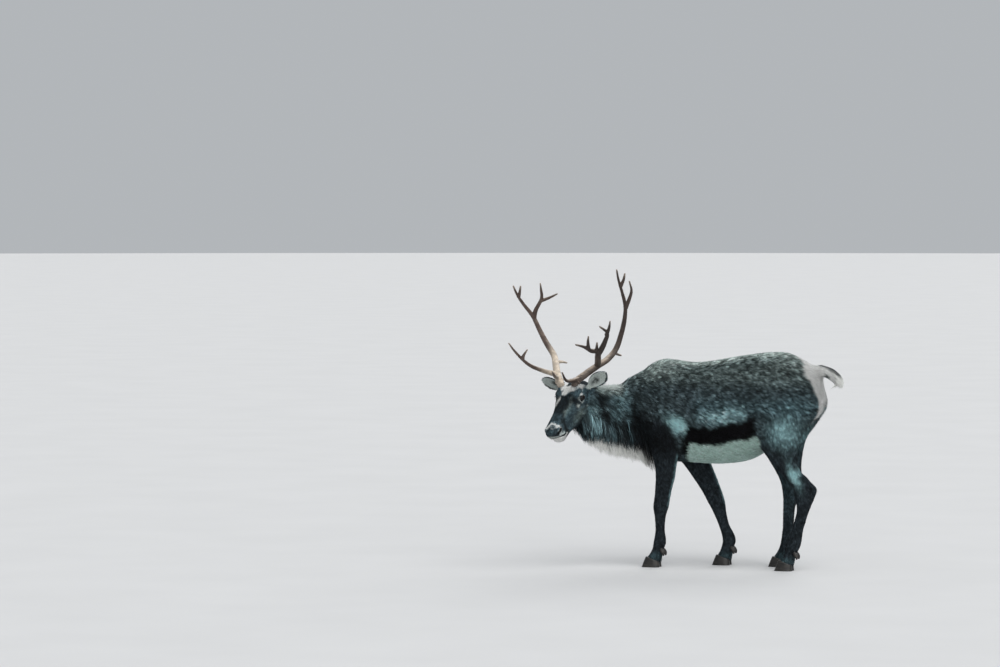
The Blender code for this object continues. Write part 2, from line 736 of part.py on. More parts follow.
def mane_locks(surface, draw):
    """Rows of hanging locks from the throat down to the chest, longest along the underside."""
    path = smooth_rows(NECK, 12)[:, :3]
    down = Vector((0, 0, -1))
    locks = []
    for row in range(MANE_ROWS):
        share = (row + 0.5) / MANE_ROWS
        index = int((MANE_START + (MANE_END - MANE_START) * share) * (len(path) - 1))
        station = Vector(path[index])
        back = Vector(path[index - 2] - path[index]).normalized()
        side = back.cross(down).normalized()
        for column in range(MANE_COLUMNS):
            turn = (column + 0.5 * (row % 2) + 0.25) / MANE_COLUMNS * 2 - 1
            angle = math.radians(MANE_SPREAD) * turn + draw.uniform(-LOCK_STRAY, LOCK_STRAY)
            way = side * math.sin(angle) + down * math.cos(angle)
            lie = (back * MANE_SWEEP + down + side * draw.uniform(-LOCK_STRAY, LOCK_STRAY))
            fade = 1 - MANE_SIDE_CUT * abs(turn)
            length = draw.uniform(*MANE_LENGTHS) * fade * (1 - MANE_THROAT_CUT * (1 - share))
            half_width = MANE_HALF_WIDTH * draw.uniform(*LOCK_WIDTHS) * fade
            locks.append(lock(surface, station, way, lie.normalized(), back, length, half_width))
    return locks


def tail_locks(surface, draw):
    """Rings of locks that make the tail bushy and end it in a tuft."""
    path = smooth_rows(TAIL, 8)
    locks = []
    for row in range(TAIL_ROWS):
        index = int((TAIL_START + TAIL_STEP * row) * (len(path) - 1))
        x, z = path[index][:2]
        along = Vector((path[index + 2][0] - x, 0, path[index + 2][1] - z)).normalized()
        outward = Vector((0, 1, 0)).cross(along)
        for column in range(TAIL_COLUMNS):
            angle = 2 * math.pi * (column + 0.5 * (row % 2)) / TAIL_COLUMNS
            way = Vector((0, 1, 0)) * math.sin(angle) + outward * math.cos(angle)
            locks.append(lock(surface, Vector((x, 0, z)), way, along, along.cross(way),
                              draw.uniform(*TAIL_LENGTHS), TAIL_HALF_WIDTH))
    return locks


def surface_of(obj):
    shape = bmesh.new()
    shape.from_mesh(obj.data)
    tree = BVHTree.FromBMesh(shape)
    shape.free()
    return tree


def make_body():
    """Trunk, neck, legs and tail as one surface with their long hair."""
    pieces = [trunk_loft(), neck_loft("neck"), tail_loft(),
              head_loft("skull", SKULL), head_loft("jaw", JAW)]
    pieces += [leg_loft(leg) for leg in LEGS]
    body = melt("torso", pieces, BODY_VOXEL, BODY_SOFTENING, BODY_KEEP)
    surface = surface_of(body)
    draw = random.Random(LOCK_SEED)
    combine(body, mane_locks(surface, draw) + tail_locks(surface, draw), "UNION")
    return body


def take(body, name, planes):
    """The part of the body behind some planes, as a node of its own."""
    part = body.copy()
    part.data = body.data.copy()
    part.name = name
    WORKSHOP.objects.link(part)
    combine(part, [cell("room", grown(planes, -0.5 * GAP))], "INTERSECT")
    return part


def flipped(plane):
    point, normal = plane
    return point, -Vector(normal)


def part_body(body):
    """Cut the body into torso, neck, tail and legs; what is left of it is the torso."""
    nodes = {}
    leg_rooms = {leg: leg_planes(leg) for leg in LEGS}
    for leg, planes in leg_rooms.items():
        nodes[leg] = take(body, leg, planes)
    nodes["tail"] = take(body, "tail", [flipped(TAIL_CUT)])
    neck = take(body, "neck", [flipped(NECK_CUT)])
    combine(neck, [cell("room", grown(head_planes(), 0.5 * GAP))], "DIFFERENCE")
    nodes["neck"] = neck
    rooms = list(leg_rooms.values()) + [[flipped(TAIL_CUT)], [flipped(NECK_CUT)]]
    combine(body, [cell("room", grown(planes, 0.5 * GAP)) for planes in rooms], "DIFFERENCE")
    nodes["torso"] = body
    return nodes


def eye_axes(side):
    """The way an eye looks, and its own forward and up directions, as columns of a matrix."""
    forward, left, up = HEAD_AXES.transposed()
    outward = left * side
    turn = math.radians(EYE_FORWARD_TURN)
    gaze = (outward * math.cos(turn) + forward * math.sin(turn)).normalized()
    ahead = (forward * math.cos(turn) - outward * math.sin(turn)).normalized()
    return Matrix((gaze, ahead, up)).transposed()


def eye_place(side):
    return from_head((EYE_CENTRE[0], side * EYE_CENTRE[1], EYE_CENTRE[2]))


def lid_opening(side):
    """A lens-shaped plug that opens the lids over the eye."""
    gaze, ahead, up = eye_axes(side).transposed()
    steps = np.linspace(-1, 1, LID_CUT_STEPS)
    outline = [(u, 1 - u * u) for u in steps] + [(u, u * u - 1) for u in steps[-2:0:-1]]
    rings = []
    for depth in (LID_CUT_START, 2 * EYE_RADIUS):
        rings.append([eye_place(side) + gaze * depth + ahead * (u * LID_HALF_LENGTH)
                      + up * (v * LID_OPENING) for u, v in outline])
    return loft("lid_opening", rings)


def make_head():
    """Skull, jaw and lips melted together, with lids, nostrils, mouth line and root stubs."""
    pieces = [head_loft("skull", SKULL), head_loft("jaw", JAW),
              neck_loft("nape", first=3)]
    for name, centre, radii in HEAD_SWELLINGS:
        for place in (centre, mirrored(centre)):
            pieces.append(ellipsoid(name, from_head(place), radii, HEAD_AXES))
    for lift in (LIP_THICKNESS, -LIP_THICKNESS):
        route = lip_route(lift)
        pieces.append(branch("lip", route, [LIP_RADIUS] * len(route)))
    head = melt("head", pieces, HEAD_VOXEL, HEAD_SOFTENING, HEAD_KEEP)
    combine(head, [cell("room", grown(head_planes(), -0.5 * GAP))], "INTERSECT")
    return head


def dress_head(head, stubs):
    """Add the lids and the stubs of ears and antlers to the head, and cut its openings."""
    lids = [ellipsoid("lid", eye_place(side), [EYE_RADIUS + LID_THICKNESS] * 3,
                      eye_axes(side), LID_SEGMENTS, LID_RINGS) for side in (-1, 1)]
    combine(head, lids + stubs, "UNION", "MANIFOLD")
    cutters = []
    for side in (-1, 1):
        cutters.append(ellipsoid("socket", eye_place(side), [EYE_RADIUS + GAP] * 3,
                                 eye_axes(side)))
        cutters.append(lid_opening(side))
        a, b, c = NOSTRIL_CENTRE
        cutters.append(ellipsoid("nostril", from_head((a, side * b, c)), NOSTRIL_RADII,
                                 HEAD_AXES, SMALL_SEGMENTS, SMALL_RINGS))
    route = lip_route(0.0)
    cutters.append(branch("mouth_line", route, [LIP_LINE_RADIUS] * len(route), THIN_SIDES))
    combine(head, cutters, "DIFFERENCE", "MANIFOLD")


def ear_section(centre, across, facing, half_width, bulge, wall, count=7):
    """A crescent: the back of the ear and the hollow in front, as one outline."""
    angles = np.linspace(-0.5 * math.pi, 0.5 * math.pi, count)
    back = [centre + across * (half_width * math.sin(t)) - facing * (bulge * math.cos(t))
            for t in angles]
    hollow = [centre + across * (EAR_HOLLOW_SHARE * half_width * math.sin(t))
              - facing * ((bulge - wall) * math.cos(t)) for t in angles[-2:0:-1]]
    return back + hollow


def make_ear(side_name):
    """A cupped ear, and the stub on the head that it grows from."""
    root, tip = (from_head(point) for point in EARS[side_name])
    axis = (tip - root).normalized()
    length = (tip - root).length
    outward = HEAD_AXES.col[1] * (1 if side_name == "left" else -1)
    forward = HEAD_AXES.col[0] + outward * EAR_OUTWARD_TURN
    facing = (forward - axis * forward.dot(axis)).normalized()
    across = axis.cross(facing)
    start = EAR_STUB / length
    rings = []
    for t, wide, bulge, wall in EAR_PROFILE:
        place = root + axis * (length * (start + (1 - start) * t) + 0.5 * GAP * (1 - t))
        place -= facing * (EAR_BEND * t * t)
        rings.append(ear_section(place, across, facing, wide * EAR_HALF_WIDTH, bulge, wall))
    ear = loft("ear_" + side_name, rings)
    wide, bulge, wall = EAR_PROFILE[0][1:]
    stub_rings = [ear_section(root + axis * (EAR_STUB * along - 0.5 * GAP * along), across, facing,
                              wide * EAR_HALF_WIDTH * swell, bulge * swell, wall * swell)
                  for along, swell in ((-1.6, 1.3), (0.0, 1.15), (1.0, 1.0))]
    return ear, loft("ear_stub", stub_rings)


def cut_route(points, radii, cuts):
    """Cut a route at some lengths along it, leaving the gap square across it at each cut."""
    points = np.asarray(points)
    lengths = np.append(0.0, np.cumsum(np.linalg.norm(np.diff(points, axis=0), axis=1)))

    def at(length):
        return np.array([np.interp(length, lengths, column) for column in points.T])

    def square_end(length, way):
        ahead = at(length + ROUTE_CLEAR) - at(length - ROUTE_CLEAR)
        ahead /= np.linalg.norm(ahead)
        return [at(length) + way * ahead * (0.5 * GAP + back) for back in (ROUTE_SQUARE, 0.0)]

    bounds = [0.0] + list(cuts) + [lengths[-1]]
    stretches = []
    for start, end in zip(bounds, bounds[1:]):
        inside = (lengths > start + ROUTE_CLEAR) & (lengths < end - ROUTE_CLEAR)
        head = [points[0]] if start == 0 else square_end(start, 1)[::-1]
        foot = [points[-1]] if end == lengths[-1] else square_end(end, -1)
        places = np.array(head + list(points[inside]) + foot)
        widths = ([np.interp(start, lengths, radii)] * len(head) + list(radii[inside])
                  + [np.interp(end, lengths, radii)] * len(foot))
        stretches.append((places, widths))
    return stretches


def make_antler(side_name):
    """One antler's nodes, split at its main forks, and the pedicle stub that bears it."""
    pieces = {}
    for names, cuts, first, last, route in ANTLERS[side_name]:
        points = smooth_rows([from_head(point) for point in route], ANTLER_STEPS)
        share = np.linspace(0, 1, len(points)) ** ANTLER_TAPER
        radii = first + (last - first) * share
        radii[-1] = ANTLER_TIP_RADIUS
        for name, (place, thickness) in zip(names, cut_route(points, radii, cuts)):
            sides = THICK_SIDES if first > BEAM_RADIUS else THIN_SIDES
            pieces.setdefault(name, []).append(branch(name, place, thickness, sides))
            if names[0] == "head" and name == "beam":
                way = Vector(place[1] - place[0]).normalized()
                radius, height = BURR_RADII
                centre = Vector(place[0]) + way * (height + BURR_CLEAR)
                axes = way.to_track_quat("Z", "Y").to_matrix()
                pieces[name].append(ellipsoid("burr", centre, (radius, radius, height), axes))
    stub = pieces.pop("head")[0]
    nodes = {}
    for name, parts in pieces.items():
        whole = parts[0]
        if len(parts) > 1:
            combine(whole, parts[1:], "UNION", "MANIFOLD")
        nodes[f"antler_{side_name}_{name}"] = whole
    return nodes, stub


def make_claw(leg, name, side):
    """Half of a hoof: a flat sole, a sloping wall and a top cut along the coronet."""
    centre, slope = coronet(leg)
    splay = math.radians(CLAW_SPLAY) * side
    ahead = Vector((-math.cos(splay), math.sin(splay), 0))
    across = Vector((math.sin(splay), math.cos(splay), 0))
    middle = Vector((centre.x, centre.y + side * CLAW_APART, 0))
    rings = []
    for height, toe, heel, width in CLAW_SECTIONS:
        points = []
        for t in np.arange(CLAW_SIDES) * 2 * math.pi / CLAW_SIDES:
            reach = (toe * CLAW_TOE if math.cos(t) > 0 else heel * CLAW_HEEL) * math.cos(t)
            points.append(middle + ahead * reach + Vector((0, 0, height))
                          + across * (width * CLAW_HALF_WIDTH * math.sin(t)))
        rings.append(points)
    claw = loft(name, rings)
    combine(claw, [cell("room", grown([(centre, slope)], -0.5 * GAP))], "INTERSECT")
    return claw


def make_feet(nodes):
    """Two claws and two dewclaws under each leg; the dewclaws sit in sockets in the leg."""
    for leg in LEGS:
        back, middle = LEGS[leg][-3][2:4]
        sockets = []
        for side, place in ((-1, "outer"), (1, "inner")):
            side *= -leg_side(leg)
            name = f"hoof_{leg}_{place}"
            nodes[name] = make_claw(leg, name, side)
            centre = (back - DEWCLAW_INSET, leg_side(leg) * middle + side * DEWCLAW_APART,
                      DEWCLAW_HEIGHT)
            axes = Matrix.Rotation(math.radians(DEWCLAW_TILT), 3, "Y")
            name = f"dewclaw_{leg}_{place}"
            nodes[name] = ellipsoid(name, centre, DEWCLAW_RADII, axes,
                                    DEWCLAW_SEGMENTS, DEWCLAW_RINGS)
            sockets.append(ellipsoid("socket", centre, [r + GAP for r in DEWCLAW_RADII], axes,
                                     DEWCLAW_SEGMENTS, DEWCLAW_RINGS))
        combine(nodes[leg], sockets, "DIFFERENCE")


def finish(nodes):
    """Move the model so that the middle of its box's base is the origin, and dress each node."""
    corners = np.vstack([[vertex.co for vertex in obj.data.vertices] for obj in nodes.values()])
    low, high = corners.min(axis=0), corners.max(axis=0)
    shift = Matrix.Translation((-0.5 * (low[0] + high[0]), -0.5 * (low[1] + high[1]), -low[2]))
    gallery = make_collection(OBJECT_NAME)
    materials = {name: make_material(name) for name in COLOURS}
    for name, obj in nodes.items():
        obj.data.transform(shift)
        obj.data.shade_smooth()
        obj.data.set_sharp_from_angle(angle=math.radians(SHARP_ANGLE))
        obj.data.materials.clear()
        obj.data.materials.append(materials[material_of(name)])
        WORKSHOP.objects.unlink(obj)
        gallery.objects.link(obj)
        obj.name = name
        obj.data.name = name
    bpy.data.collections.remove(WORKSHOP)


def material_of(name):
    first = name.split("_")[0]
    return {"antler": "horn", "hoof": "hoof", "dewclaw": "hoof", "eye": "eye",
            "neck": "pale", "tail": "pale", "head": "face", "ear": "face"}.get(first, "coat")


def main():
    nodes = part_body(make_body())
    head = make_head()
    stubs = []
    for side_name in ("left", "right"):
        nodes["ear_" + side_name], stub = make_ear(side_name)
        stubs.append(stub)
        antler, stub = make_antler(side_name)
        nodes.update(antler)
        stubs.append(stub)
        side = 1 if side_name == "left" else -1
        nodes["eye_" + side_name] = ellipsoid("eye", eye_place(side), [EYE_RADIUS] * 3,
                                              eye_axes(side))
    dress_head(head, stubs)
    nodes["head"] = head
    make_feet(nodes)
    finish(nodes)


clear_scene()
WORKSHOP = make_collection("workshop")
main()
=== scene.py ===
"""Dresses the solids of a reindeer as a life-size museum model with skin, coat, eyes and horn.

Shapes are worked out in the animal's own frame: it faces -X, its left side is toward -Y, and the
floor is z = 0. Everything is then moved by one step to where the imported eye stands. All lengths
are metres.
"""

import logging
import math
from dataclasses import dataclass, field
from enum import Enum

import bmesh
import bpy
import numpy as np
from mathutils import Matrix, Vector


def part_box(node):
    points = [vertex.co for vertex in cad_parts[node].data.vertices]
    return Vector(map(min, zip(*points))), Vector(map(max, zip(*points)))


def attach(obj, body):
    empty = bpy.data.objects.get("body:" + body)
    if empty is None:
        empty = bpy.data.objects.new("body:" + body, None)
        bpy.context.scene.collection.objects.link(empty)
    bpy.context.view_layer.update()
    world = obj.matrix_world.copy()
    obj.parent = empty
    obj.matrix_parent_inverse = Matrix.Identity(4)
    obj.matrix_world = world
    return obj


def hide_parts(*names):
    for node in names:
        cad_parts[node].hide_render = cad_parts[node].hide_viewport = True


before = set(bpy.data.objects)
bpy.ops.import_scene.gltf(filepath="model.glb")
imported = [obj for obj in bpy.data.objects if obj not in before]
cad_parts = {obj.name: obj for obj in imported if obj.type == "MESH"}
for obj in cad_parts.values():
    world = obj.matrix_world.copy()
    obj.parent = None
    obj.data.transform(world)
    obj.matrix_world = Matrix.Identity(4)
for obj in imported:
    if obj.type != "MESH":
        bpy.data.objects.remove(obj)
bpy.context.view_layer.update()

LOG = logging.getLogger("reindeer")
Array = np.ndarray
SKIN_ATTRIBUTE = "Coat"
BAKE_MAP = "OFBake"
PATCH = 0.003
Z_AXIS = np.array((0.0, 0.0, 1.0))


# Numbers and arrays


def unit(vectors: Array) -> Array:
    """Scale each row to length one."""
    return vectors / np.maximum(np.linalg.norm(vectors, axis=-1, keepdims=True), 1e-9)


def dot(a: Array, b: Array) -> Array:
    """Dot product of matching rows, kept as a column."""
    return np.sum(a * b, axis=-1, keepdims=True)


def rise(value: Array, low: float, high: float) -> Array:
    """Smooth step: 0 below low, 1 above high, 3t^2 - 2t^3 between. Low above high turns it round."""
    t = np.clip((np.asarray(value, float) - low) / (high - low), 0.0, 1.0)
    return t * t * (3.0 - 2.0 * t)


def bell(value: Array, centre: float, width: float) -> Array:
    """Bell curve exp(-d^2) of the distance to a centre, in widths."""
    return np.exp(-((value - centre) / width) ** 2)


def smooth_rows(rows: Array, steps: int) -> Array:
    """Run a Catmull-Rom cubic through rows of numbers.

    Args:
        rows: One row of numbers for each station.
        steps: How many stations each span becomes.

    Returns:
        The denser rows, with the last row kept.
    """
    rows = np.asarray(rows, float)
    padded = np.vstack([2 * rows[0] - rows[1], rows, 2 * rows[-1] - rows[-2]])
    p0, p1, p2, p3 = (padded[i:i + len(rows) - 1, None] for i in range(4))
    t = (np.arange(steps) / steps)[None, :, None]
    curve = 0.5 * (2 * p1 + (p2 - p0) * t + (2 * p0 - 5 * p1 + 4 * p2 - p3) * t ** 2
                   + (3 * p1 - p0 - 3 * p2 + p3) * t ** 3)
    return np.vstack([curve.reshape(-1, rows.shape[1]), rows[-1:]])


def lattice_noise(points: Array, size: float, seed: int) -> Array:
    """Smooth noise from -1 to 1: random corners of a cubic lattice, blended across each cell.

    Args:
        points: Places, one row each.
        size: Edge of a lattice cell.
        seed: Which of the noises.

    Returns:
        One number for each place.
    """
    scaled = points / size
    base = np.floor(scaled).astype(np.int64)
    part = scaled - base
    part = part * part * (3.0 - 2.0 * part)
    total = np.zeros(len(points))
    for corner in np.ndindex(2, 2, 2):
        cell = base + np.array(corner)
        key = (cell[:, 0] * 73856093) ^ (cell[:, 1] * 19349663) ^ (cell[:, 2] * 83492791)
        key = (key + seed * 2654435761) & 0xFFFFFFFF
        key = ((key ^ (key >> 15)) * 2246822519) & 0xFFFFFFFF
        key = ((key ^ (key >> 13)) * 3266489917) & 0xFFFFFFFF
        value = ((key ^ (key >> 16)) & 0xFFFF) / 32767.5 - 1.0
        share = np.where(corner, part, 1.0 - part).prod(axis=1)
        total += value * share
    return total


def mix(a: Array, b: Array, share: Array) -> Array:
    """Blend two colours, or arrays of them, by a share for each row."""
    share = np.asarray(share, float).reshape(-1, 1)
    return np.asarray(a, float) * (1.0 - share) + np.asarray(b, float) * share


# Meshes as arrays


@dataclass
class Shape:
    """A mesh as arrays: points, and faces with four and with three corners."""

    points: Array
    quads: Array = field(default_factory=lambda: np.zeros((0, 4), int))
    tris: Array = field(default_factory=lambda: np.zeros((0, 3), int))

    def outward(self) -> "Shape":
        """Turn all faces round if the solid's signed volume is below zero."""
        tris = self.all_tris()
        a, b, c = (self.points[tris[:, i]] for i in range(3))
        if np.sum(a * np.cross(b, c)) < 0:
            self.quads = self.quads[:, ::-1]
            self.tris = self.tris[:, ::-1]
        return self

    def all_tris(self) -> Array:
        """The faces, with each quad as two triangles."""
        return np.vstack([self.tris, self.quads[:, [0, 1, 2]], self.quads[:, [0, 2, 3]]])

    def normals(self) -> Array:
        """Point normals: the mean of the faces round each point, weighed by their area."""
        tris = self.all_tris()
        a, b, c = (self.points[tris[:, i]] for i in range(3))
        across = np.cross(b - a, c - a)
        total = np.stack([np.bincount(tris.ravel(), np.repeat(across[:, k], 3), len(self.points))
                          for k in range(3)], axis=1)
        return unit(total)


def joined(shapes: list[Shape]) -> Shape:
    """Put several shapes into one, each keeping its own points."""
    starts = np.cumsum([0] + [len(shape.points) for shape in shapes])
    return Shape(np.vstack([shape.points for shape in shapes]),
                 np.vstack([shape.quads + s for shape, s in zip(shapes, starts)]),
                 np.vstack([shape.tris + s for shape, s in zip(shapes, starts)]))


def tube_solid(rings: Array) -> Shape:
    """Close a row of rings, (stations, points round, 3), into a solid with a fan at each end."""
    n, m = rings.shape[:2]
    i = np.arange(n - 1)[:, None] * m
    j = np.arange(m)[None]
    k = (j + 1) % m
    quads = np.stack([i + j, i + k, i + m + k, i + m + j], -1).reshape(-1, 4)
    j, k = j[0], k[0]
    foot = np.stack([k, j, np.full(m, n * m)], -1)
    head = np.stack([(n - 1) * m + j, (n - 1) * m + k, np.full(m, n * m + 1)], -1)
    points = np.vstack([rings.reshape(-1, 3), rings[0].mean(0), rings[-1].mean(0)])
    return Shape(points, quads, np.vstack([foot, head])).outward()


def rings_along(centres: Array, side: Array, up: Array, half: Array, above: Array, below: Array,
                fullness: float = 2.0, count: int = 40) -> Array:
    """Superellipse rings whose upper and lower halves differ.

    A point at angle t is centre + side half sign(sin t)|sin t|^(2/f) + up reach sign(cos t)
    |cos t|^(2/f), where reach is above or below.

    Args:
        centres: Middle of each ring.
        side: Sideways direction of each ring.
        up: Upward direction of each ring.
        half: Half width of each ring.
        above: Reach upward of each ring.
        below: Reach downward of each ring.
        fullness: 2 is an ellipse, and more is squarer.
        count: Points round a ring.

    Returns:
        Rings as (stations, count, 3).
    """
    t = np.arange(count) * 2 * math.pi / count
    across = np.sign(np.sin(t)) * np.abs(np.sin(t)) ** (2 / fullness)
    upright = np.sign(np.cos(t)) * np.abs(np.cos(t)) ** (2 / fullness)
    reach = np.where(upright[None] > 0, np.reshape(above, (-1, 1)), np.reshape(below, (-1, 1)))
    side = np.broadcast_to(side, centres.shape)[:, None]
    up = np.broadcast_to(up, centres.shape)[:, None]
    return (centres[:, None] + side * (across[None] * np.reshape(half, (-1, 1)))[..., None]
            + up * (upright[None] * reach)[..., None])


def ball_solid(centre: Array, radii: Array, axes: Array, count: int = 24) -> Shape:
    """An ellipsoid: rings of latitude stretched along three axes, the rows of a 3x3 array."""
    lat = np.linspace(0.06, math.pi - 0.06, count // 2)
    lon = np.arange(count) * 2 * math.pi / count
    ball = np.stack([np.outer(np.sin(lat), np.cos(lon)), np.outer(np.sin(lat), np.sin(lon)),
                     np.outer(np.cos(lat), np.ones(count))], -1)
    return tube_solid(np.asarray(centre) + (ball * np.asarray(radii)) @ np.asarray(axes))


def path_frames(points: Array, start: Array) -> tuple[Array, Array, Array]:
    """Directions along a path, with a side and an up that turn with it as little as they can.

    Args:
        points: The path.
        start: Any direction across its start, used as the first side.

    Returns:
        Ways along, sides and ups, one row for each point.
    """
    way = unit(np.gradient(points, axis=0))
    sides = np.empty_like(way)
    side = np.asarray(start, float)
    for i, ahead in enumerate(way):
        side = side - ahead * side.dot(ahead)
        side = side / np.linalg.norm(side)
        sides[i] = side
    return way, sides, np.cross(way, sides)


def branch_solid(points: Array, radii: Array, sides: int = 20) -> Shape:
    """A tapering round branch: circles carried along a path."""
    way, side, up = path_frames(points, np.array((0.31, 0.77, 0.56)))
    return tube_solid(rings_along(points, side, up, radii, radii, radii, count=sides))


def many_tapers(rings: Array, tips: Array) -> Shape:
    """Close many rows of rings into pointed solids.

    Args:
        rings: (count, stations, points round, 3), each ring running from the side toward the
            outer face.
        tips: The point of each solid, (count, 3).

    Returns:
        All the solids as one shape, each with its own points in a row.
    """
    count, n, m = rings.shape[:3]
    points = np.concatenate([rings.reshape(count, -1, 3), tips[:, None]], axis=1)
    i = np.arange(n - 1)[:, None] * m
    j = np.arange(m)[None]
    k = (j + 1) % m
    quads = np.stack([i + j, i + k, i + m + k, i + m + j], -1).reshape(-1, 4)
    j, k = j[0], k[0]
    point = np.stack([(n - 1) * m + j, (n - 1) * m + k, np.full(m, n * m)], -1)
    root = np.array([(0, a + 1, a) for a in range(1, m - 1)])
    tris = np.vstack([point, root])
    start = (np.arange(count) * (n * m + 1))[:, None, None]
    return Shape(points.reshape(-1, 3), (quads[None] + start).reshape(-1, 4),
                 (tris[None] + start).reshape(-1, 3))


def add_mesh(name: str, shape: Shape, colours: Array | None = None, uv: Array | None = None
             ) -> bpy.types.Object:
    """Make an object from a shape, with the colour and the unwrap of each point if given.

    Args:
        name: Name of the object.
        shape: The mesh as arrays.
        colours: Linear colour of each point, (points, 3).
        uv: Place of each point on the bake map, (points, 2).

    Returns:
        The new object, at the origin.
    """
    mesh = bpy.data.meshes.new(name)
    corners = np.concatenate([shape.quads.ravel(), shape.tris.ravel()]).astype(np.int32)
    starts = np.concatenate([np.arange(len(shape.quads)) * 4,
                             len(shape.quads) * 4 + np.arange(len(shape.tris)) * 3])
    mesh.vertices.add(len(shape.points))
    mesh.vertices.foreach_set("co", shape.points.astype(np.float32).ravel())
    mesh.loops.add(len(corners))
    mesh.loops.foreach_set("vertex_index", corners)
    mesh.polygons.add(len(starts))
    mesh.polygons.foreach_set("loop_start", starts.astype(np.int32))
    mesh.polygons.foreach_set("use_smooth", np.ones(len(starts), bool))
    if colours is not None:
        layer = mesh.attributes.new(SKIN_ATTRIBUTE, "FLOAT_COLOR", "POINT")
        rgba = np.hstack([np.clip(colours, 0.0, 1.0), np.ones((len(colours), 1))])
        layer.data.foreach_set("color", rgba.astype(np.float32).ravel())
    if uv is not None:
        mesh.uv_layers.new(name=BAKE_MAP)
        mesh.uv_layers[BAKE_MAP].data.foreach_set("uv", uv[corners].astype(np.float32).ravel())
    mesh.update(calc_edges=True)
    obj = bpy.data.objects.new(name, mesh)
    bpy.context.scene.collection.objects.link(obj)
    return obj


def read_shape(mesh: bpy.types.Mesh) -> Shape:
    """Read a mesh back as triangles."""
    mesh.calc_loop_triangles()
    points = np.empty(len(mesh.vertices) * 3, np.float32)
    mesh.vertices.foreach_get("co", points)
    tris = np.empty(len(mesh.loop_triangles) * 3, np.int32)
    mesh.loop_triangles.foreach_get("vertices", tris)
    return Shape(points.reshape(-1, 3).astype(float), tris=tris.reshape(-1, 3).astype(int))


def melted(shape: Shape, voxel: float, softening: int) -> bpy.types.Mesh:
    """Melt overlapping closed solids into one surface: a voxel remesh, then smoothing."""
    obj = add_mesh("melt", shape)
    remesh = obj.modifiers.new("Melt", "REMESH")
    remesh.mode = "VOXEL"
    remesh.voxel_size = voxel
    soften = obj.modifiers.new("Soften", "SMOOTH")
    soften.factor = 0.5
    soften.iterations = softening
    graph = bpy.context.evaluated_depsgraph_get()
    mesh = bpy.data.meshes.new_from_object(obj.evaluated_get(graph))
    bpy.data.objects.remove(obj, do_unlink=True)
    return mesh


def relaxed(shape: Shape, share: Array, rounds: int) -> None:
    """Move each point toward the mean of its neighbours, by a share for each point."""
    tris = shape.all_tris()
    edges = np.vstack([tris[:, [0, 1]], tris[:, [1, 2]], tris[:, [2, 0]]])
    degree = np.maximum(np.bincount(edges[:, 0], minlength=len(shape.points)), 1)[:, None]
    for _ in range(rounds):
        mean = np.stack([np.bincount(edges[:, 0], shape.points[edges[:, 1], k],
                                     len(shape.points)) for k in range(3)], axis=1) / degree
        shape.points += (mean - shape.points) * share[:, None]


# The animal's sizes


class Side(Enum):
    """The animal's two sides, with the sign of its left."""

    LEFT = 1
    RIGHT = -1


class Region(Enum):
    """Parts of the skin, in the order in which they are kept."""

    TRUNK = 0
    NECK = 1
    HEAD = 2
    TAIL = 3
    FORE_LEFT = 4
    FORE_RIGHT = 5
    HIND_LEFT = 6
    HIND_RIGHT = 7
    EAR_LEFT = 8
    EAR_RIGHT = 9


@dataclass(frozen=True)
class HeadFrame:
    """Where the head is: a point midway between the eyes, its turn, pitch and roll in degrees."""

    centre: tuple = (-0.828, -0.345, 0.933)
    turn: float = 80.0
    pitch: float = 34.0
    roll: float = 3.0

    def axes(self) -> Array:
        """Forward, left and up as rows."""
        turn, pitch, roll = np.radians((self.turn, self.pitch, self.roll))
        level = np.array((-math.cos(turn), -math.sin(turn), 0.0))
        forward = level * math.cos(pitch) - Z_AXIS * math.sin(pitch)
        left = np.cross(Z_AXIS, level)
        up = np.cross(forward, left)
        return np.array((forward, left * math.cos(roll) + up * math.sin(roll),
                         up * math.cos(roll) - left * math.sin(roll)))

    def out(self, places: Array) -> Array:
        """Places of the head's frame (forward, left, up) in the animal's frame."""
        return np.asarray(self.centre) + np.asarray(places, float) @ self.axes()

    def into(self, points: Array) -> Array:
        """Places of the animal's frame in the head's frame."""
        return (points - np.asarray(self.centre)) @ self.axes().T


HEAD = HeadFrame()
FORWARD, LEFT, UP = HEAD.axes()


@dataclass
class Bone:
    """A line through one region of the body, which gives the lie of its hair and its unwrap."""

    region: Region
    points: Array
    radii: Array
    lie: Array
    side: Array


@dataclass
class Trunk:
    """The barrel of the body, as sections from chest to buttocks: x, back, belly, half width."""

    widest: float = 0.85
    rows: tuple = (
        (-0.56, 0.950, 0.700, 0.100), (-0.50, 1.094, 0.625, 0.155), (-0.44, 1.140, 0.596, 0.172),
        (-0.36, 1.162, 0.582, 0.182), (-0.21, 1.140, 0.575, 0.192), (-0.05, 1.160, 0.572, 0.206),
        (0.10, 1.189, 0.592, 0.208), (0.22, 1.203, 0.650, 0.196), (0.32, 1.205, 0.710, 0.180),
        (0.42, 1.160, 0.800, 0.150), (0.49, 1.105, 0.870, 0.108), (0.535, 1.030, 0.930, 0.058),
    )

    def solid(self) -> Shape:
        """The barrel as superellipse rings along x."""
        x, top, bottom, half = smooth_rows(self.rows, 8).T
        middle = np.minimum(self.widest, 0.5 * (top + bottom) + 0.02)
        middle = np.maximum(middle, bottom + 0.4 * (top - bottom))
        centres = np.stack([x, 0 * x, middle], 1)
        return tube_solid(rings_along(centres, (0, 1, 0), (0, 0, 1), half, top - middle,
                                      middle - bottom, 2.15, 64))

    def bone(self) -> Bone:
        """The line through the middle of the barrel; the hair lies back and down."""
        x, top, bottom, half = smooth_rows(self.rows, 4).T
        points = np.stack([x, 0 * x, 0.5 * (top + bottom) + 0.03], 1)
        return Bone(Region.TRUNK, points, 0.5 * (half + 0.5 * (top - bottom)),
                    np.tile((1.0, 0.0, -0.42), (len(x), 1)), np.tile((0.0, 1.0, 0.0), (len(x), 1)))


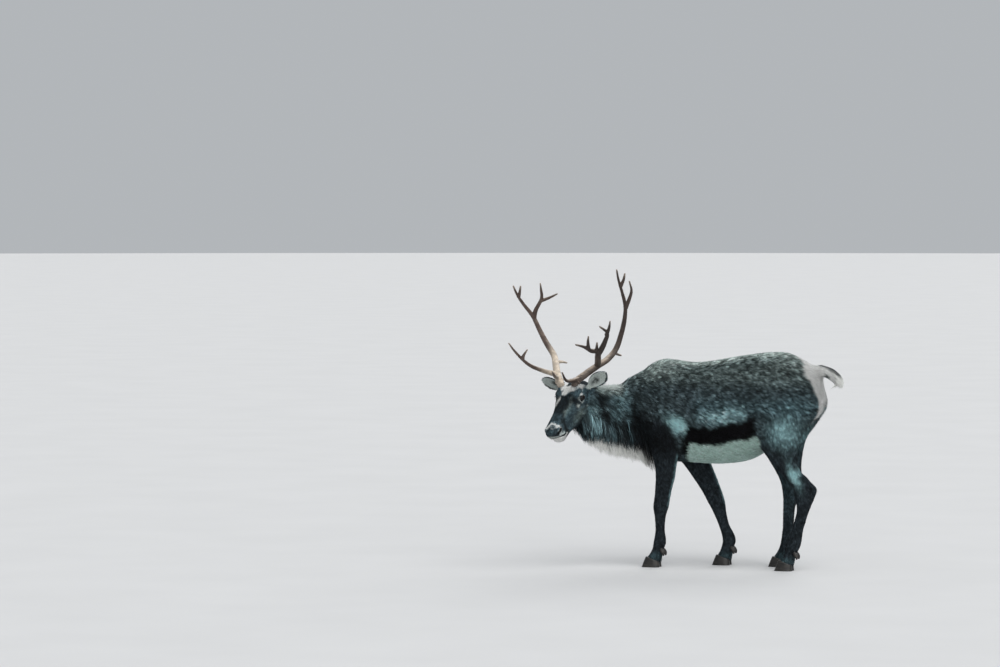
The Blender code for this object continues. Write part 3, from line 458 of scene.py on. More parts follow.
@dataclass
class Neck:
    """The neck, as sections from the chest to the head: centre, half width, above and below."""

    rows: tuple = (
        (-0.40, 0.000, 0.880, 0.140, 0.250, 0.270), (-0.52, -0.020, 0.860, 0.138, 0.207, 0.235),
        (-0.62, -0.055, 0.845, 0.125, 0.174, 0.185), (-0.70, -0.115, 0.865, 0.108, 0.155, 0.165),
        (-0.760, -0.190, 0.895, 0.093, 0.125, 0.135), (-0.795, -0.260, 0.930, 0.078, 0.100, 0.110),
    )

    def solid(self) -> Shape:
        """The neck as rings square to its bent line."""
        rows = smooth_rows(self.rows, 8)
        way = unit(np.gradient(rows[:, :3], axis=0))
        side = unit(np.cross(way, Z_AXIS))
        return tube_solid(rings_along(rows[:, :3], side, np.cross(side, way), rows[:, 3],
                                      rows[:, 4], rows[:, 5], count=48))

    def bone(self) -> Bone:
        """The bent line of the neck; the hair lies back along it and down."""
        rows = smooth_rows(self.rows[1:5], 6)
        way = unit(np.gradient(rows[:, :3], axis=0))
        return Bone(Region.NECK, rows[:, :3], rows[:, 3:].mean(1), -way - 0.75 * Z_AXIS,
                    unit(np.cross(way, Z_AXIS)))


@dataclass
class Leg:
    """One leg, as sections from the body down: z, front x, back x, middle y, half width."""

    region: Region
    sign: int
    rows: tuple

    def centres(self, steps: int) -> tuple[Array, Array, Array]:
        """Middle, half depth and half width of each section."""
        z, front, back, middle, half = smooth_rows(self.rows, steps).T
        points = np.stack([0.5 * (front + back), self.sign * middle, z], 1)
        return points, 0.5 * (back - front), half

    def solid(self) -> Shape:
        """The leg as level ellipses."""
        points, reach, half = self.centres(8)
        return tube_solid(rings_along(points, (0, 1, 0), (1, 0, 0), half, reach, reach))

    def bone(self) -> Bone:
        """The line of the leg below the body; the hair lies down and a little back."""
        points, reach, half = self.centres(4)
        low = points[:, 2] < 0.80
        return Bone(self.region, points[low], 0.5 * (reach + half)[low],
                    np.tile((0.22, 0.0, -1.0), (low.sum(), 1)),
                    np.tile((0.0, 1.0, 0.0), (low.sum(), 1)))


FORELEG_PLANTED = (
    (1.000, -0.450, -0.250, 0.105, 0.062), (0.850, -0.468, -0.250, 0.115, 0.068),
    (0.750, -0.460, -0.245, 0.121, 0.065), (0.680, -0.440, -0.248, 0.124, 0.058),
    (0.600, -0.405, -0.268, 0.126, 0.049), (0.510, -0.396, -0.281, 0.125, 0.042),
    (0.400, -0.402, -0.307, 0.123, 0.037), (0.336, -0.410, -0.319, 0.122, 0.038),
    (0.280, -0.402, -0.336, 0.121, 0.031), (0.210, -0.398, -0.340, 0.120, 0.027),
    (0.140, -0.408, -0.334, 0.120, 0.033), (0.090, -0.420, -0.350, 0.120, 0.032),
    (0.040, -0.455, -0.360, 0.120, 0.041), (0.020, -0.460, -0.365, 0.120, 0.041),
)
FORELEG_BACK = (
    (1.000, -0.450, -0.240, 0.105, 0.062), (0.850, -0.450, -0.230, 0.115, 0.068),
    (0.750, -0.435, -0.190, 0.121, 0.065), (0.680, -0.395, -0.175, 0.124, 0.058),
    (0.600, -0.336, -0.155, 0.126, 0.049), (0.510, -0.266, -0.118, 0.125, 0.042),
    (0.417, -0.201, -0.080, 0.123, 0.037), (0.355, -0.166, -0.060, 0.122, 0.038),
    (0.300, -0.134, -0.052, 0.121, 0.031), (0.230, -0.103, -0.035, 0.120, 0.027),
    (0.150, -0.076, 0.003, 0.120, 0.033), (0.090, -0.086, -0.010, 0.120, 0.032),
    (0.040, -0.115, -0.020, 0.120, 0.041), (0.020, -0.120, -0.025, 0.120, 0.041),
)
HINDLEG_BACK = (
    (1.100, 0.250, 0.440, 0.075, 0.035),
    (1.020, 0.200, 0.500, 0.095, 0.085), (0.930, 0.175, 0.535, 0.098, 0.090),
    (0.850, 0.158, 0.515, 0.103, 0.085), (0.780, 0.152, 0.460, 0.108, 0.076),
    (0.720, 0.168, 0.432, 0.112, 0.067), (0.650, 0.218, 0.412, 0.114, 0.057),
    (0.570, 0.286, 0.425, 0.115, 0.047), (0.500, 0.348, 0.482, 0.115, 0.042),
    (0.455, 0.382, 0.520, 0.115, 0.039), (0.400, 0.394, 0.508, 0.115, 0.034),
    (0.335, 0.405, 0.480, 0.115, 0.030), (0.240, 0.384, 0.450, 0.115, 0.028),
    (0.150, 0.355, 0.434, 0.115, 0.033), (0.090, 0.336, 0.408, 0.115, 0.032),
    (0.040, 0.300, 0.396, 0.115, 0.041), (0.020, 0.295, 0.391, 0.115, 0.041),
)
HINDLEG_UNDER = (
    (1.100, 0.250, 0.440, 0.075, 0.035),
    (1.020, 0.200, 0.500, 0.095, 0.085), (0.930, 0.175, 0.535, 0.098, 0.090),
    (0.850, 0.143, 0.505, 0.103, 0.085), (0.780, 0.130, 0.450, 0.108, 0.076),
    (0.720, 0.132, 0.412, 0.112, 0.067), (0.650, 0.157, 0.390, 0.114, 0.057),
    (0.570, 0.205, 0.378, 0.115, 0.047), (0.500, 0.245, 0.384, 0.115, 0.042),
    (0.455, 0.263, 0.390, 0.115, 0.039), (0.400, 0.270, 0.372, 0.115, 0.034),
    (0.335, 0.272, 0.345, 0.115, 0.030), (0.240, 0.271, 0.338, 0.115, 0.028),
    (0.150, 0.262, 0.339, 0.115, 0.033), (0.090, 0.243, 0.315, 0.115, 0.032),
    (0.040, 0.208, 0.304, 0.115, 0.041), (0.020, 0.203, 0.299, 0.115, 0.041),
)
LEGS = (
    Leg(Region.FORE_LEFT, -1, FORELEG_PLANTED), Leg(Region.FORE_RIGHT, 1, FORELEG_BACK),
    Leg(Region.HIND_LEFT, -1, HINDLEG_BACK), Leg(Region.HIND_RIGHT, 1, HINDLEG_UNDER),
)


@dataclass
class Tail:
    """The tail, as sections from the rump to its tip: x, z, half width, half depth."""

    rows: tuple = (
        (0.430, 1.095, 0.050, 0.045), (0.500, 1.098, 0.038, 0.036), (0.550, 1.085, 0.038, 0.032),
        (0.588, 1.060, 0.034, 0.029), (0.610, 1.034, 0.022, 0.018),
    )

    def line(self, steps: int) -> tuple[Array, Array, Array, Array]:
        """Centres, directions, half widths and half depths."""
        x, z, half, depth = smooth_rows(self.rows, steps).T
        points = np.stack([x, 0 * x, z], 1)
        return points, unit(np.gradient(points, axis=0)), half, depth

    def solid(self) -> Shape:
        """The tail as rings square to its bent line."""
        points, way, half, depth = self.line(6)
        across = np.array((0.0, 1.0, 0.0))
        return tube_solid(rings_along(points, across, np.cross(across, way), half, depth, depth,
                                      count=24))

    def bone(self) -> Bone:
        """The line of the tail; the hair lies along it."""
        points, way, half, depth = self.line(4)
        keep = points[:, 0] > 0.49
        return Bone(Region.TAIL, points[keep], 0.5 * (half + depth)[keep], way[keep],
                    np.tile((0.0, 1.0, 0.0), (keep.sum(), 1)))


@dataclass
class Ear:
    """One cupped ear, from its root to its tip in the head's frame."""

    side: Side
    root: tuple
    tip: tuple
    half_width: float = 0.046
    stub: float = 0.020
    bend: float = 0.012
    outward_turn: float = 0.35
    hollow: float = 0.86
    # Share of the length, of the half width, depth of the back, and wall.
    profile: tuple = (
        (-0.30, 0.48, 0.0200, 0.0200), (-0.14, 0.42, 0.0175, 0.0175), (0.00, 0.38, 0.0160, 0.0160),
        (0.12, 0.60, 0.0210, 0.0110), (0.32, 0.90, 0.0270, 0.0075), (0.55, 1.00, 0.0250, 0.0070),
        (0.76, 0.84, 0.0180, 0.0065), (0.92, 0.48, 0.0100, 0.0060), (1.00, 0.12, 0.0055, 0.0040),
    )

    def axes(self) -> tuple[Array, Array, Array, Array, float]:
        """Root, way to the tip, the way the cup faces, the way across it, and the length."""
        root, tip = HEAD.out(self.root), HEAD.out(self.tip)
        axis = unit(tip - root)
        forward = FORWARD + LEFT * self.outward_turn * self.side.value
        facing = unit(forward - axis * forward.dot(axis))
        return root, axis, facing, np.cross(axis, facing), float(np.linalg.norm(tip - root))

    def places(self, share: Array) -> Array:
        """Points of the ear's line: straight to the tip, bent back by the square of the share."""
        root, axis, facing, _, length = self.axes()
        share = np.reshape(share, (-1, 1))
        start = self.stub / length
        along = root + axis * (length * (start + (1 - start) * share))
        return along - facing * (self.bend * np.clip(share, 0, None) ** 2)

    def solid(self) -> Shape:
        """Crescent sections: the back is half an ellipse, and the cup a smaller one inside it."""
        _, _, facing, across, _ = self.axes()
        share, wide, bulge, wall = smooth_rows(self.profile, 6).T
        places = self.places(share)[:, None]
        t = np.linspace(-0.5 * math.pi, 0.5 * math.pi, 17)
        sin, cos = np.sin(t)[None, :, None], np.cos(t)[None, :, None]
        wide, bulge, wall = ((value[:, None, None]) for value in (wide, bulge, wall))
        back = places + across * (self.half_width * wide * sin) - facing * (bulge * cos)
        cup = (places + across * (self.hollow * self.half_width * wide * sin)
               - facing * ((bulge - wall) * cos))
        return tube_solid(np.concatenate([back, cup[:, -2:0:-1]], axis=1))

    def bone(self) -> Bone:
        """The line of the ear; the hair lies toward its tip."""
        _, axis, _, across, _ = self.axes()
        share = np.linspace(0.05, 1.0, 10)
        region = Region.EAR_LEFT if self.side is Side.LEFT else Region.EAR_RIGHT
        return Bone(region, self.places(share), np.full(10, 0.030), np.tile(axis, (10, 1)),
                    np.tile(across, (10, 1)))


EARS = (
    Ear(Side.LEFT, (-0.092, 0.074, 0.008), (-0.112, 0.212, 0.090)),
    Ear(Side.RIGHT, (-0.100, -0.074, 0.004), (-0.116, -0.218, 0.045)),
)


@dataclass
class Eye:
    """One eye: a ball with a bulging cornea, seen through a lens-shaped opening of the lids."""

    side: Side
    radius: float = 0.0205
    centre: tuple = (-0.016, 0.0660, 0.007)
    forward_turn: float = 28.0
    half_length: float = 0.0185
    half_opening: float = 0.0120
    lid: float = 0.0030

    def place(self) -> Array:
        """Middle of the ball."""
        a, b, c = self.centre
        return HEAD.out((a, self.side.value * b, c))

    def axes(self) -> Array:
        """The way the eye looks, its forward and its up, as rows."""
        turn = math.radians(self.forward_turn)
        outward = LEFT * self.side.value
        return np.array((outward * math.cos(turn) + FORWARD * math.sin(turn),
                         FORWARD * math.cos(turn) - outward * math.sin(turn), UP))

    def into(self, points: Array) -> Array:
        """Places in the eye's frame: out, forward, up."""
        return (points - self.place()) @ self.axes().T

    def open_share(self, ahead: Array, up: Array) -> Array:
        """Below 1 inside the opening: |up| over its half height, a parabola along its length."""
        half = self.half_opening * np.clip(1 - (ahead / self.half_length) ** 2, 0.01, None)
        return np.abs(up) / half


EYES = (Eye(Side.LEFT), Eye(Side.RIGHT))


@dataclass
class Head:
    """Skull, jaw, swellings and lips, in the head's frame: forward a, left b, up c."""

    fullness: float = 2.5
    skull: tuple = (
        (-0.170, 0.010, -0.110, 0.055), (-0.120, 0.040, -0.130, 0.071),
        (-0.060, 0.058, -0.128, 0.080), (-0.010, 0.060, -0.115, 0.081),
        (0.040, 0.051, -0.100, 0.072), (0.090, 0.041, -0.092, 0.058),
        (0.150, 0.031, -0.090, 0.046), (0.200, 0.023, -0.082, 0.046),
        (0.240, 0.013, -0.074, 0.049), (0.268, -0.002, -0.064, 0.045),
        (0.286, -0.018, -0.054, 0.032),
    )
    jaw: tuple = (
        (-0.130, -0.050, -0.145, 0.050), (-0.080, -0.050, -0.160, 0.060),
        (-0.020, -0.060, -0.158, 0.056), (0.050, -0.060, -0.150, 0.047),
        (0.120, -0.055, -0.128, 0.039), (0.180, -0.050, -0.121, 0.038),
        (0.222, -0.048, -0.122, 0.037), (0.252, -0.052, -0.106, 0.027),
    )
    # Brow, cheek, orbit, cheekbone and rim of the nostril: centre and radii. Each is mirrored.
    swellings: tuple = (
        ((-0.020, 0.060, 0.033), (0.036, 0.021, 0.020)),
        ((-0.045, 0.054, -0.082), (0.062, 0.026, 0.054)),
        ((-0.016, 0.0625, 0.009), (0.036, 0.0225, 0.028)),
        ((0.018, 0.063, -0.020), (0.048, 0.014, 0.014)),
        ((0.248, 0.036, -0.022), (0.028, 0.016, 0.022)),
    )
    lips: tuple = (
        (0.178, 0.041, -0.076), (0.208, 0.042, -0.069), (0.240, 0.040, -0.063),
        (0.264, 0.025, -0.059), (0.272, 0.000, -0.058), (0.264, -0.025, -0.059),
        (0.240, -0.040, -0.063), (0.208, -0.042, -0.069), (0.178, -0.041, -0.076),
    )
    lip_rise: float = 0.0075
    lip_radius: float = 0.0082
    nostril: tuple = (0.262, 0.042, -0.021)
    nostril_way: tuple = (-0.80, 0.25, 0.54)
    nostril_reach: float = 0.011
    nostril_width: float = 0.0060
    # Foot and top of the furred stalk under each antler, and its radius.
    stalks: tuple = (((-0.030, 0.034, 0.030), (-0.0450, 0.0470, 0.0800)),
                     ((-0.030, -0.034, 0.030), (-0.0440, -0.0482, 0.0800)))
    stalk_radius: float = 0.0250

    def lip_line(self, lift: float, steps: int = 8) -> Array:
        """The line of the mouth in the animal's frame, raised by some height."""
        return HEAD.out(smooth_rows(self.lips, steps) + np.array((0.0, 0.0, lift)))

    def loft(self, rows: tuple) -> Shape:
        """Superellipse rings along the head."""
        a, top, bottom, half = smooth_rows(rows, 8).T
        reach = 0.5 * (top - bottom)
        centres = HEAD.out(np.stack([a, 0 * a, 0.5 * (top + bottom)], 1))
        return tube_solid(rings_along(centres, LEFT, UP, half, reach, reach, self.fullness, 48))

    def solids(self) -> list[Shape]:
        """The overlapping solids that are melted into the head."""
        parts = [self.loft(self.skull), self.loft(self.jaw)]
        for (a, b, c), radii in self.swellings:
            parts += [ball_solid(HEAD.out((a, s * b, c)), radii, HEAD.axes()) for s in (-1, 1)]
        for lift in (self.lip_rise, -self.lip_rise):
            line = self.lip_line(lift, 4)
            parts.append(branch_solid(line, np.full(len(line), self.lip_radius), 14))
        for foot, top in self.stalks:
            line = HEAD.out(np.linspace(foot, top, 5))
            parts.append(branch_solid(line, self.stalk_radius * np.linspace(1.2, 0.93, 5), 24))
        return parts

    def nostril_gap(self, head: Array) -> Array:
        """Distance from the slit of the nearer nostril, in its half widths."""
        way = unit(np.array(self.nostril_way))
        offset = head * np.array((1, 0, 1)) + np.abs(head * np.array((0, 1, 0))) - self.nostril
        along = np.clip(offset @ way, -self.nostril_reach, self.nostril_reach)
        return np.linalg.norm(offset - along[:, None] * way, axis=1) / self.nostril_width

    def bone(self) -> Bone:
        """The line of the head; the hair lies back from the nose and a little down."""
        a = np.linspace(-0.13, 0.27, 16)
        points = HEAD.out(np.stack([a, 0 * a, -0.035 - 0.10 * np.clip(a, 0, None)], 1))
        return Bone(Region.HEAD, points, np.interp(a, (-0.13, 0.05, 0.27), (0.092, 0.080, 0.045)),
                    np.tile(-FORWARD - 0.25 * UP, (16, 1)), np.tile(LEFT, (16, 1)))


# The skin


@dataclass
class Survey:
    """What the body's lines say of some points: region, lie of the hair, and place on them."""

    shares: Array
    region: Array
    lie: Array
    station: Array
    around: Array


@dataclass
class Body:
    """All the body's parts, which make one skin and the lines that the coat follows."""

    trunk: Trunk = field(default_factory=Trunk)
    neck: Neck = field(default_factory=Neck)
    tail: Tail = field(default_factory=Tail)
    head: Head = field(default_factory=Head)

    def solids(self) -> list[Shape]:
        """Every solid that is melted into the skin."""
        parts = [self.trunk.solid(), self.neck.solid(), self.tail.solid()]
        parts += [leg.solid() for leg in LEGS] + [ear.solid() for ear in EARS]
        return parts + self.head.solids()

    def bones(self) -> list[Bone]:
        """The body's lines in the order of the regions."""
        bones = [self.trunk.bone(), self.neck.bone(), self.head.bone(), self.tail.bone()]
        bones += [leg.bone() for leg in LEGS] + [ear.bone() for ear in EARS]
        return sorted(bones, key=lambda bone: bone.region.value)

    def survey(self, points: Array, chunk: int = 20000) -> Survey:
        """Weigh the body's lines at some points by the distance to each, in radii, to the -8.

        Args:
            points: Places, one row each.
            chunk: How many are measured at a time.

        Returns:
            The shares of the regions and what follows from them.
        """
        bones = self.bones()
        shares = np.empty((len(points), len(bones)))
        nearest = np.empty((len(points), len(bones)), int)
        for column, bone in enumerate(bones):
            for start in range(0, len(points), chunk):
                part = points[start:start + chunk]
                gap = np.linalg.norm(part[:, None] - bone.points[None], axis=2) / bone.radii
                pick = gap.argmin(1)
                nearest[start:start + chunk, column] = pick
                shares[start:start + chunk, column] = gap[np.arange(len(part)), pick]
        shares = np.maximum(shares, 0.3) ** -8.0
        shares /= shares.sum(1, keepdims=True)
        region = shares.argmax(1)
        lie = np.zeros_like(points)
        station = np.zeros(len(points))
        around = np.zeros(len(points))
        for column, bone in enumerate(bones):
            pick = nearest[:, column]
            lie += unit(bone.lie)[pick] * shares[:, [column]]
            mine = region == column
            way = unit(np.gradient(bone.points, axis=0))[pick[mine]]
            offset = points[mine] - bone.points[pick[mine]]
            side = bone.side[pick[mine]]
            rise_way = np.cross(way, side)
            station[mine] = ((pick[mine] + dot(offset, way)[:, 0]
                              / np.linalg.norm(bone.points[1] - bone.points[0]))
                             / len(bone.points))
            around[mine] = np.arctan2(dot(offset, side)[:, 0], dot(offset, rise_way)[:, 0])
        return Survey(shares, region, unit(lie), station, around / (2 * math.pi) + 0.5)


@dataclass(frozen=True)
class Form:
    """A swelling or hollow of the surface: an ellipsoidal bell on both sides of the body."""

    centre: tuple
    radii: tuple
    height: float


# Shoulder blade, hollow behind it, elbow, point of the hip, hollow of the flank, thigh, stifle,
# buttock, and the muscle over the forearm.
BODY_FORMS = (
    Form((-0.36, 0.17, 1.03), (0.045, 0.09, 0.12), 0.006),
    Form((-0.215, 0.19, 0.94), (0.055, 0.09, 0.16), -0.007),
    Form((-0.34, 0.17, 0.80), (0.085, 0.06, 0.07), 0.007),
    Form((0.215, 0.13, 1.145), (0.050, 0.06, 0.035), 0.007),
    Form((0.105, 0.17, 1.05), (0.075, 0.09, 0.065), -0.009),
    Form((0.285, 0.18, 0.93), (0.100, 0.08, 0.130), 0.008),
    Form((0.185, 0.15, 0.775), (0.045, 0.06, 0.060), 0.007),
    Form((0.455, 0.10, 0.96), (0.050, 0.07, 0.110), 0.005),
    Form((-0.345, 0.13, 0.62), (0.060, 0.06, 0.055), 0.005),
)
# Creases that run between two points of the side view: start x and z, end x and z, width, depth.
BODY_CREASES = (
    (0.118, 0.985, 0.150, 0.735, 0.030, -0.009),
    (-0.185, 0.700, -0.235, 0.800, 0.022, -0.006),
    (0.470, 1.000, 0.395, 0.700, 0.016, -0.005),
    (0.405, 0.640, 0.455, 0.500, 0.010, -0.006),
    (-0.255, 1.060, -0.300, 0.820, 0.018, -0.004),
)
# Hollows and ridges of the head: centre a, b, c, radii and height. Each is mirrored.
HEAD_FORMS = (
    Form((-0.064, 0.076, 0.028), (0.026, 0.020, 0.020), -0.005),
    Form((0.030, 0.064, -0.002), (0.013, 0.020, 0.0045), -0.0045),
    Form((0.095, 0.052, -0.045), (0.055, 0.022, 0.022), -0.004),
    Form((0.075, 0.050, 0.008), (0.070, 0.018, 0.014), -0.0025),
    Form((-0.020, 0.060, -0.070), (0.050, 0.030, 0.045), 0.003),
    Form((0.220, 0.046, -0.062), (0.035, 0.018, 0.018), 0.0035),
    Form((0.205, 0.050, -0.052), (0.012, 0.018, 0.016), -0.003),
    Form((-0.016, 0.060, 0.042), (0.034, 0.020, 0.010), 0.0025),
)


@dataclass
class Skin:
    """One closed skin from nose to hooves, with finer faces at the face's openings."""

    body: Body
    voxel: float = 0.0036
    softening: int = 9
    body_keep: float = 0.17
    depths: tuple = (0.0075, 0.0085, 0.0022, 0.0060, 0.0040, 0.0040, 0.0040, 0.0040, 0.0012,
                     0.0012)

    def base(self) -> Shape:
        """Melt the body, thin its plain parts, and split the faces round eyes and mouth."""
        mesh = melted(joined(self.body.solids()), self.voxel, self.softening)
        obj = bpy.data.objects.new("skin_base", mesh)
        bpy.context.scene.collection.objects.link(obj)
        points = read_shape(mesh).points
        head = HEAD.into(points)
        plain = rise(head[:, 0], -0.13, -0.17) + rise(np.linalg.norm(head, axis=1), 0.30, 0.33)
        group = obj.vertex_groups.new(name="plain")
        for level in (0.0, 0.25, 0.5, 0.75, 1.0):
            picked = np.flatnonzero(np.abs(np.clip(plain, 0, 1) - level) <= 0.125)
            group.add(picked.tolist(), level, "REPLACE")
        thin = obj.modifiers.new("Thin", "DECIMATE")
        thin.ratio = self.body_keep
        thin.vertex_group = "plain"
        graph = bpy.context.evaluated_depsgraph_get()
        mesh = bpy.data.meshes.new_from_object(obj.evaluated_get(graph))
        bpy.data.objects.remove(obj, do_unlink=True)
        shape = bmesh.new()
        shape.from_mesh(mesh)
        for face in self.fine_faces(shape):
            face.select = True
        edges = {edge for face in shape.faces if face.select for edge in face.edges}
        bmesh.ops.subdivide_edges(shape, edges=list(edges), cuts=1, use_grid_fill=True)
        bmesh.ops.triangulate(shape, faces=shape.faces[:])
        shape.to_mesh(mesh)
        shape.free()
        return read_shape(mesh)

    def fine_faces(self, shape: bmesh.types.BMesh) -> list[bmesh.types.BMFace]:
        """Faces near the eyes, the nostrils and the mouth."""
        centres = np.array([face.calc_center_median() for face in shape.faces])
        head = HEAD.into(centres)
        near = (head[:, 0] > 0.165) & (np.linalg.norm(head, axis=1) < 0.35)
        for eye in EYES:
            near |= np.linalg.norm(eye.into(centres), axis=1) < 0.036
        faces = list(shape.faces)
        return [faces[i] for i in np.flatnonzero(near)]

    def shaped(self) -> tuple[Shape, Survey]:
        """The finished skin: sunk by the coat's depth, with muscles, creases, lids and mouth.

        Returns:
            The skin and the survey of its points.
        """
        skin = self.base()
        survey = self.body.survey(skin.points)
        high = rise(skin.points[:, 2], 0.60, 0.70) * rise(survey.shares[:, 2], 0.3, 0.05)
        relaxed(skin, 0.5 * high * (survey.shares[:, [3, 8, 9]].sum(1) < 0.2), 22)
        normals = skin.normals()
        depth = survey.shares @ np.asarray(self.depths)
        lift = self.body_lift(skin.points) + self.head_lift(skin.points) - depth
        skin.points += normals * lift[:, None]
        head = HEAD.into(skin.points)
        face = rise(np.linalg.norm(head, axis=1), 0.36, 0.30) * rise(head[:, 0], -0.16, -0.10)
        relaxed(skin, 0.5 * face, 2)
        self.open_mouth(skin)
        self.open_nostrils(skin)
        for eye in EYES:
            self.open_lids(skin, eye)
        return skin, survey

    def body_lift(self, points: Array) -> Array:
        """How far muscles and creases raise the skin: bells in the side view, on both sides."""
        x, y, z = points.T
        outside = rise(np.abs(y), 0.035, 0.075) * rise(x, -0.62, -0.55)
        lift = np.zeros(len(points))
        for form in BODY_FORMS:
            gaps = [(value - c) / r for value, c, r in zip((x, np.abs(y), z), form.centre,
                                                          form.radii)]
            lift += form.height * np.exp(-sum(gap ** 2 for gap in gaps))
        for x0, z0, x1, z1, width, height in BODY_CREASES:
            run = np.array((x1 - x0, z1 - z0))
            t = np.clip(((x - x0) * run[0] + (z - z0) * run[1]) / run.dot(run), 0, 1)
            gap = np.hypot(x - x0 - t * run[0], z - z0 - t * run[1])
            lift += height * bell(gap, 0, width) * np.sin(math.pi * np.clip(t, 0.12, 0.88))
        lift += 0.0012 * lattice_noise(points, 0.055, 3) + 0.0008 * lattice_noise(points, 0.022, 4)
        return lift * outside

    def head_lift(self, points: Array) -> Array:
        """How far the bones and hollows of the head raise the skin."""
        a, b, c = HEAD.into(points).T
        lift = np.zeros(len(points))
        for form in HEAD_FORMS:
            gaps = [(value - m) / r for value, m, r in zip((a, np.abs(b), c), form.centre,
                                                          form.radii)]
            lift += form.height * np.exp(-sum(gap ** 2 for gap in gaps))
        return lift

    def open_mouth(self, skin: Shape) -> None:
        """Press a groove along the line of the mouth, a bell across it."""
        line = self.body.head.lip_line(0.0, 12)
        near = np.linalg.norm(skin.points - HEAD.out((0.23, 0, -0.07)), axis=1) < 0.09
        points = skin.points[near]
        gap = np.linalg.norm(points[:, None] - line[None], axis=2)
        inward = unit(HEAD.out((0.19, 0.0, -0.065)) - points)
        c = HEAD.into(points)[:, 2]
        height = c - HEAD.into(line)[gap.argmin(1), 2]
        pull = 0.0055 * bell(height, 0, 0.0026) * rise(gap.min(1), 0.016, 0.009)
        skin.points[near] = points + inward * pull[:, None]

    def open_nostrils(self, skin: Shape) -> None:
        """Sink a slanting comma at each side of the nose, with a raised rim round it."""
        head = HEAD.into(skin.points)
        gap = self.body.head.nostril_gap(head)
        pull = -0.0095 * rise(gap, 1.20, 0.45) + 0.0019 * bell(gap, 1.55, 0.35)
        skin.points += skin.normals() * (pull * (head[:, 0] > 0.2))[:, None]

    def open_lids(self, skin: Shape, eye: Eye) -> None:
        """Carry the skin over the ball as lids, and sink it behind the ball inside the opening."""
        g, s, t = eye.into(skin.points).T
        r = np.hypot(s, t)
        outer = eye.radius + eye.lid
        near = (g > 0.002) & (r < 1.5 * outer)
        inside = rise(eye.open_share(s, t), 1.10, 0.95) * rise(np.abs(s), eye.half_length,
                                                               0.94 * eye.half_length)
        lid = np.sqrt(np.clip(outer ** 2 - r ** 2, 0, None))
        over = np.maximum(g, lid - 0.6 * eye.lid * rise(r, 0.75 * outer, outer))
        behind = np.sqrt(np.clip(eye.radius ** 2 - r ** 2, 0, None)) - 0.005
        crease = 0.0016 * bell(r, 0.93 * outer, 0.0022) * (t > -0.012)
        new = over * (1 - inside) + np.minimum(g, behind) * inside - crease
        shift = np.where(near, new - g, 0.0)
        skin.points += eye.axes()[0] * shift[:, None]


# Markings


@dataclass(frozen=True)
class Palette:
    """Linear colours of the autumn coat, cool slate with pale marks."""

    slate: tuple = (0.048, 0.068, 0.074)
    back: tuple = (0.084, 0.110, 0.108)
    dark: tuple = (0.024, 0.032, 0.038)
    black: tuple = (0.0016, 0.0016, 0.0022)
    # Painted highlight for the up-facing top lines of back, neck and nose.
    top_highlight: tuple = (0.330, 0.400, 0.375)
    stripe: tuple = (0.240, 0.390, 0.415)
    glow: tuple = (0.520, 0.860, 0.890)
    belly: tuple = (0.500, 0.690, 0.620)
    pale: tuple = (0.680, 0.750, 0.715)
    white: tuple = (0.900, 0.905, 0.870)
    face: tuple = (0.068, 0.110, 0.130)
    grey: tuple = (0.076, 0.130, 0.146)
    olive: tuple = (0.230, 0.290, 0.270)
    # Dark bare lips, also standing in for the shade in the mouth's groove.
    bare: tuple = (0.003, 0.0025, 0.0025)


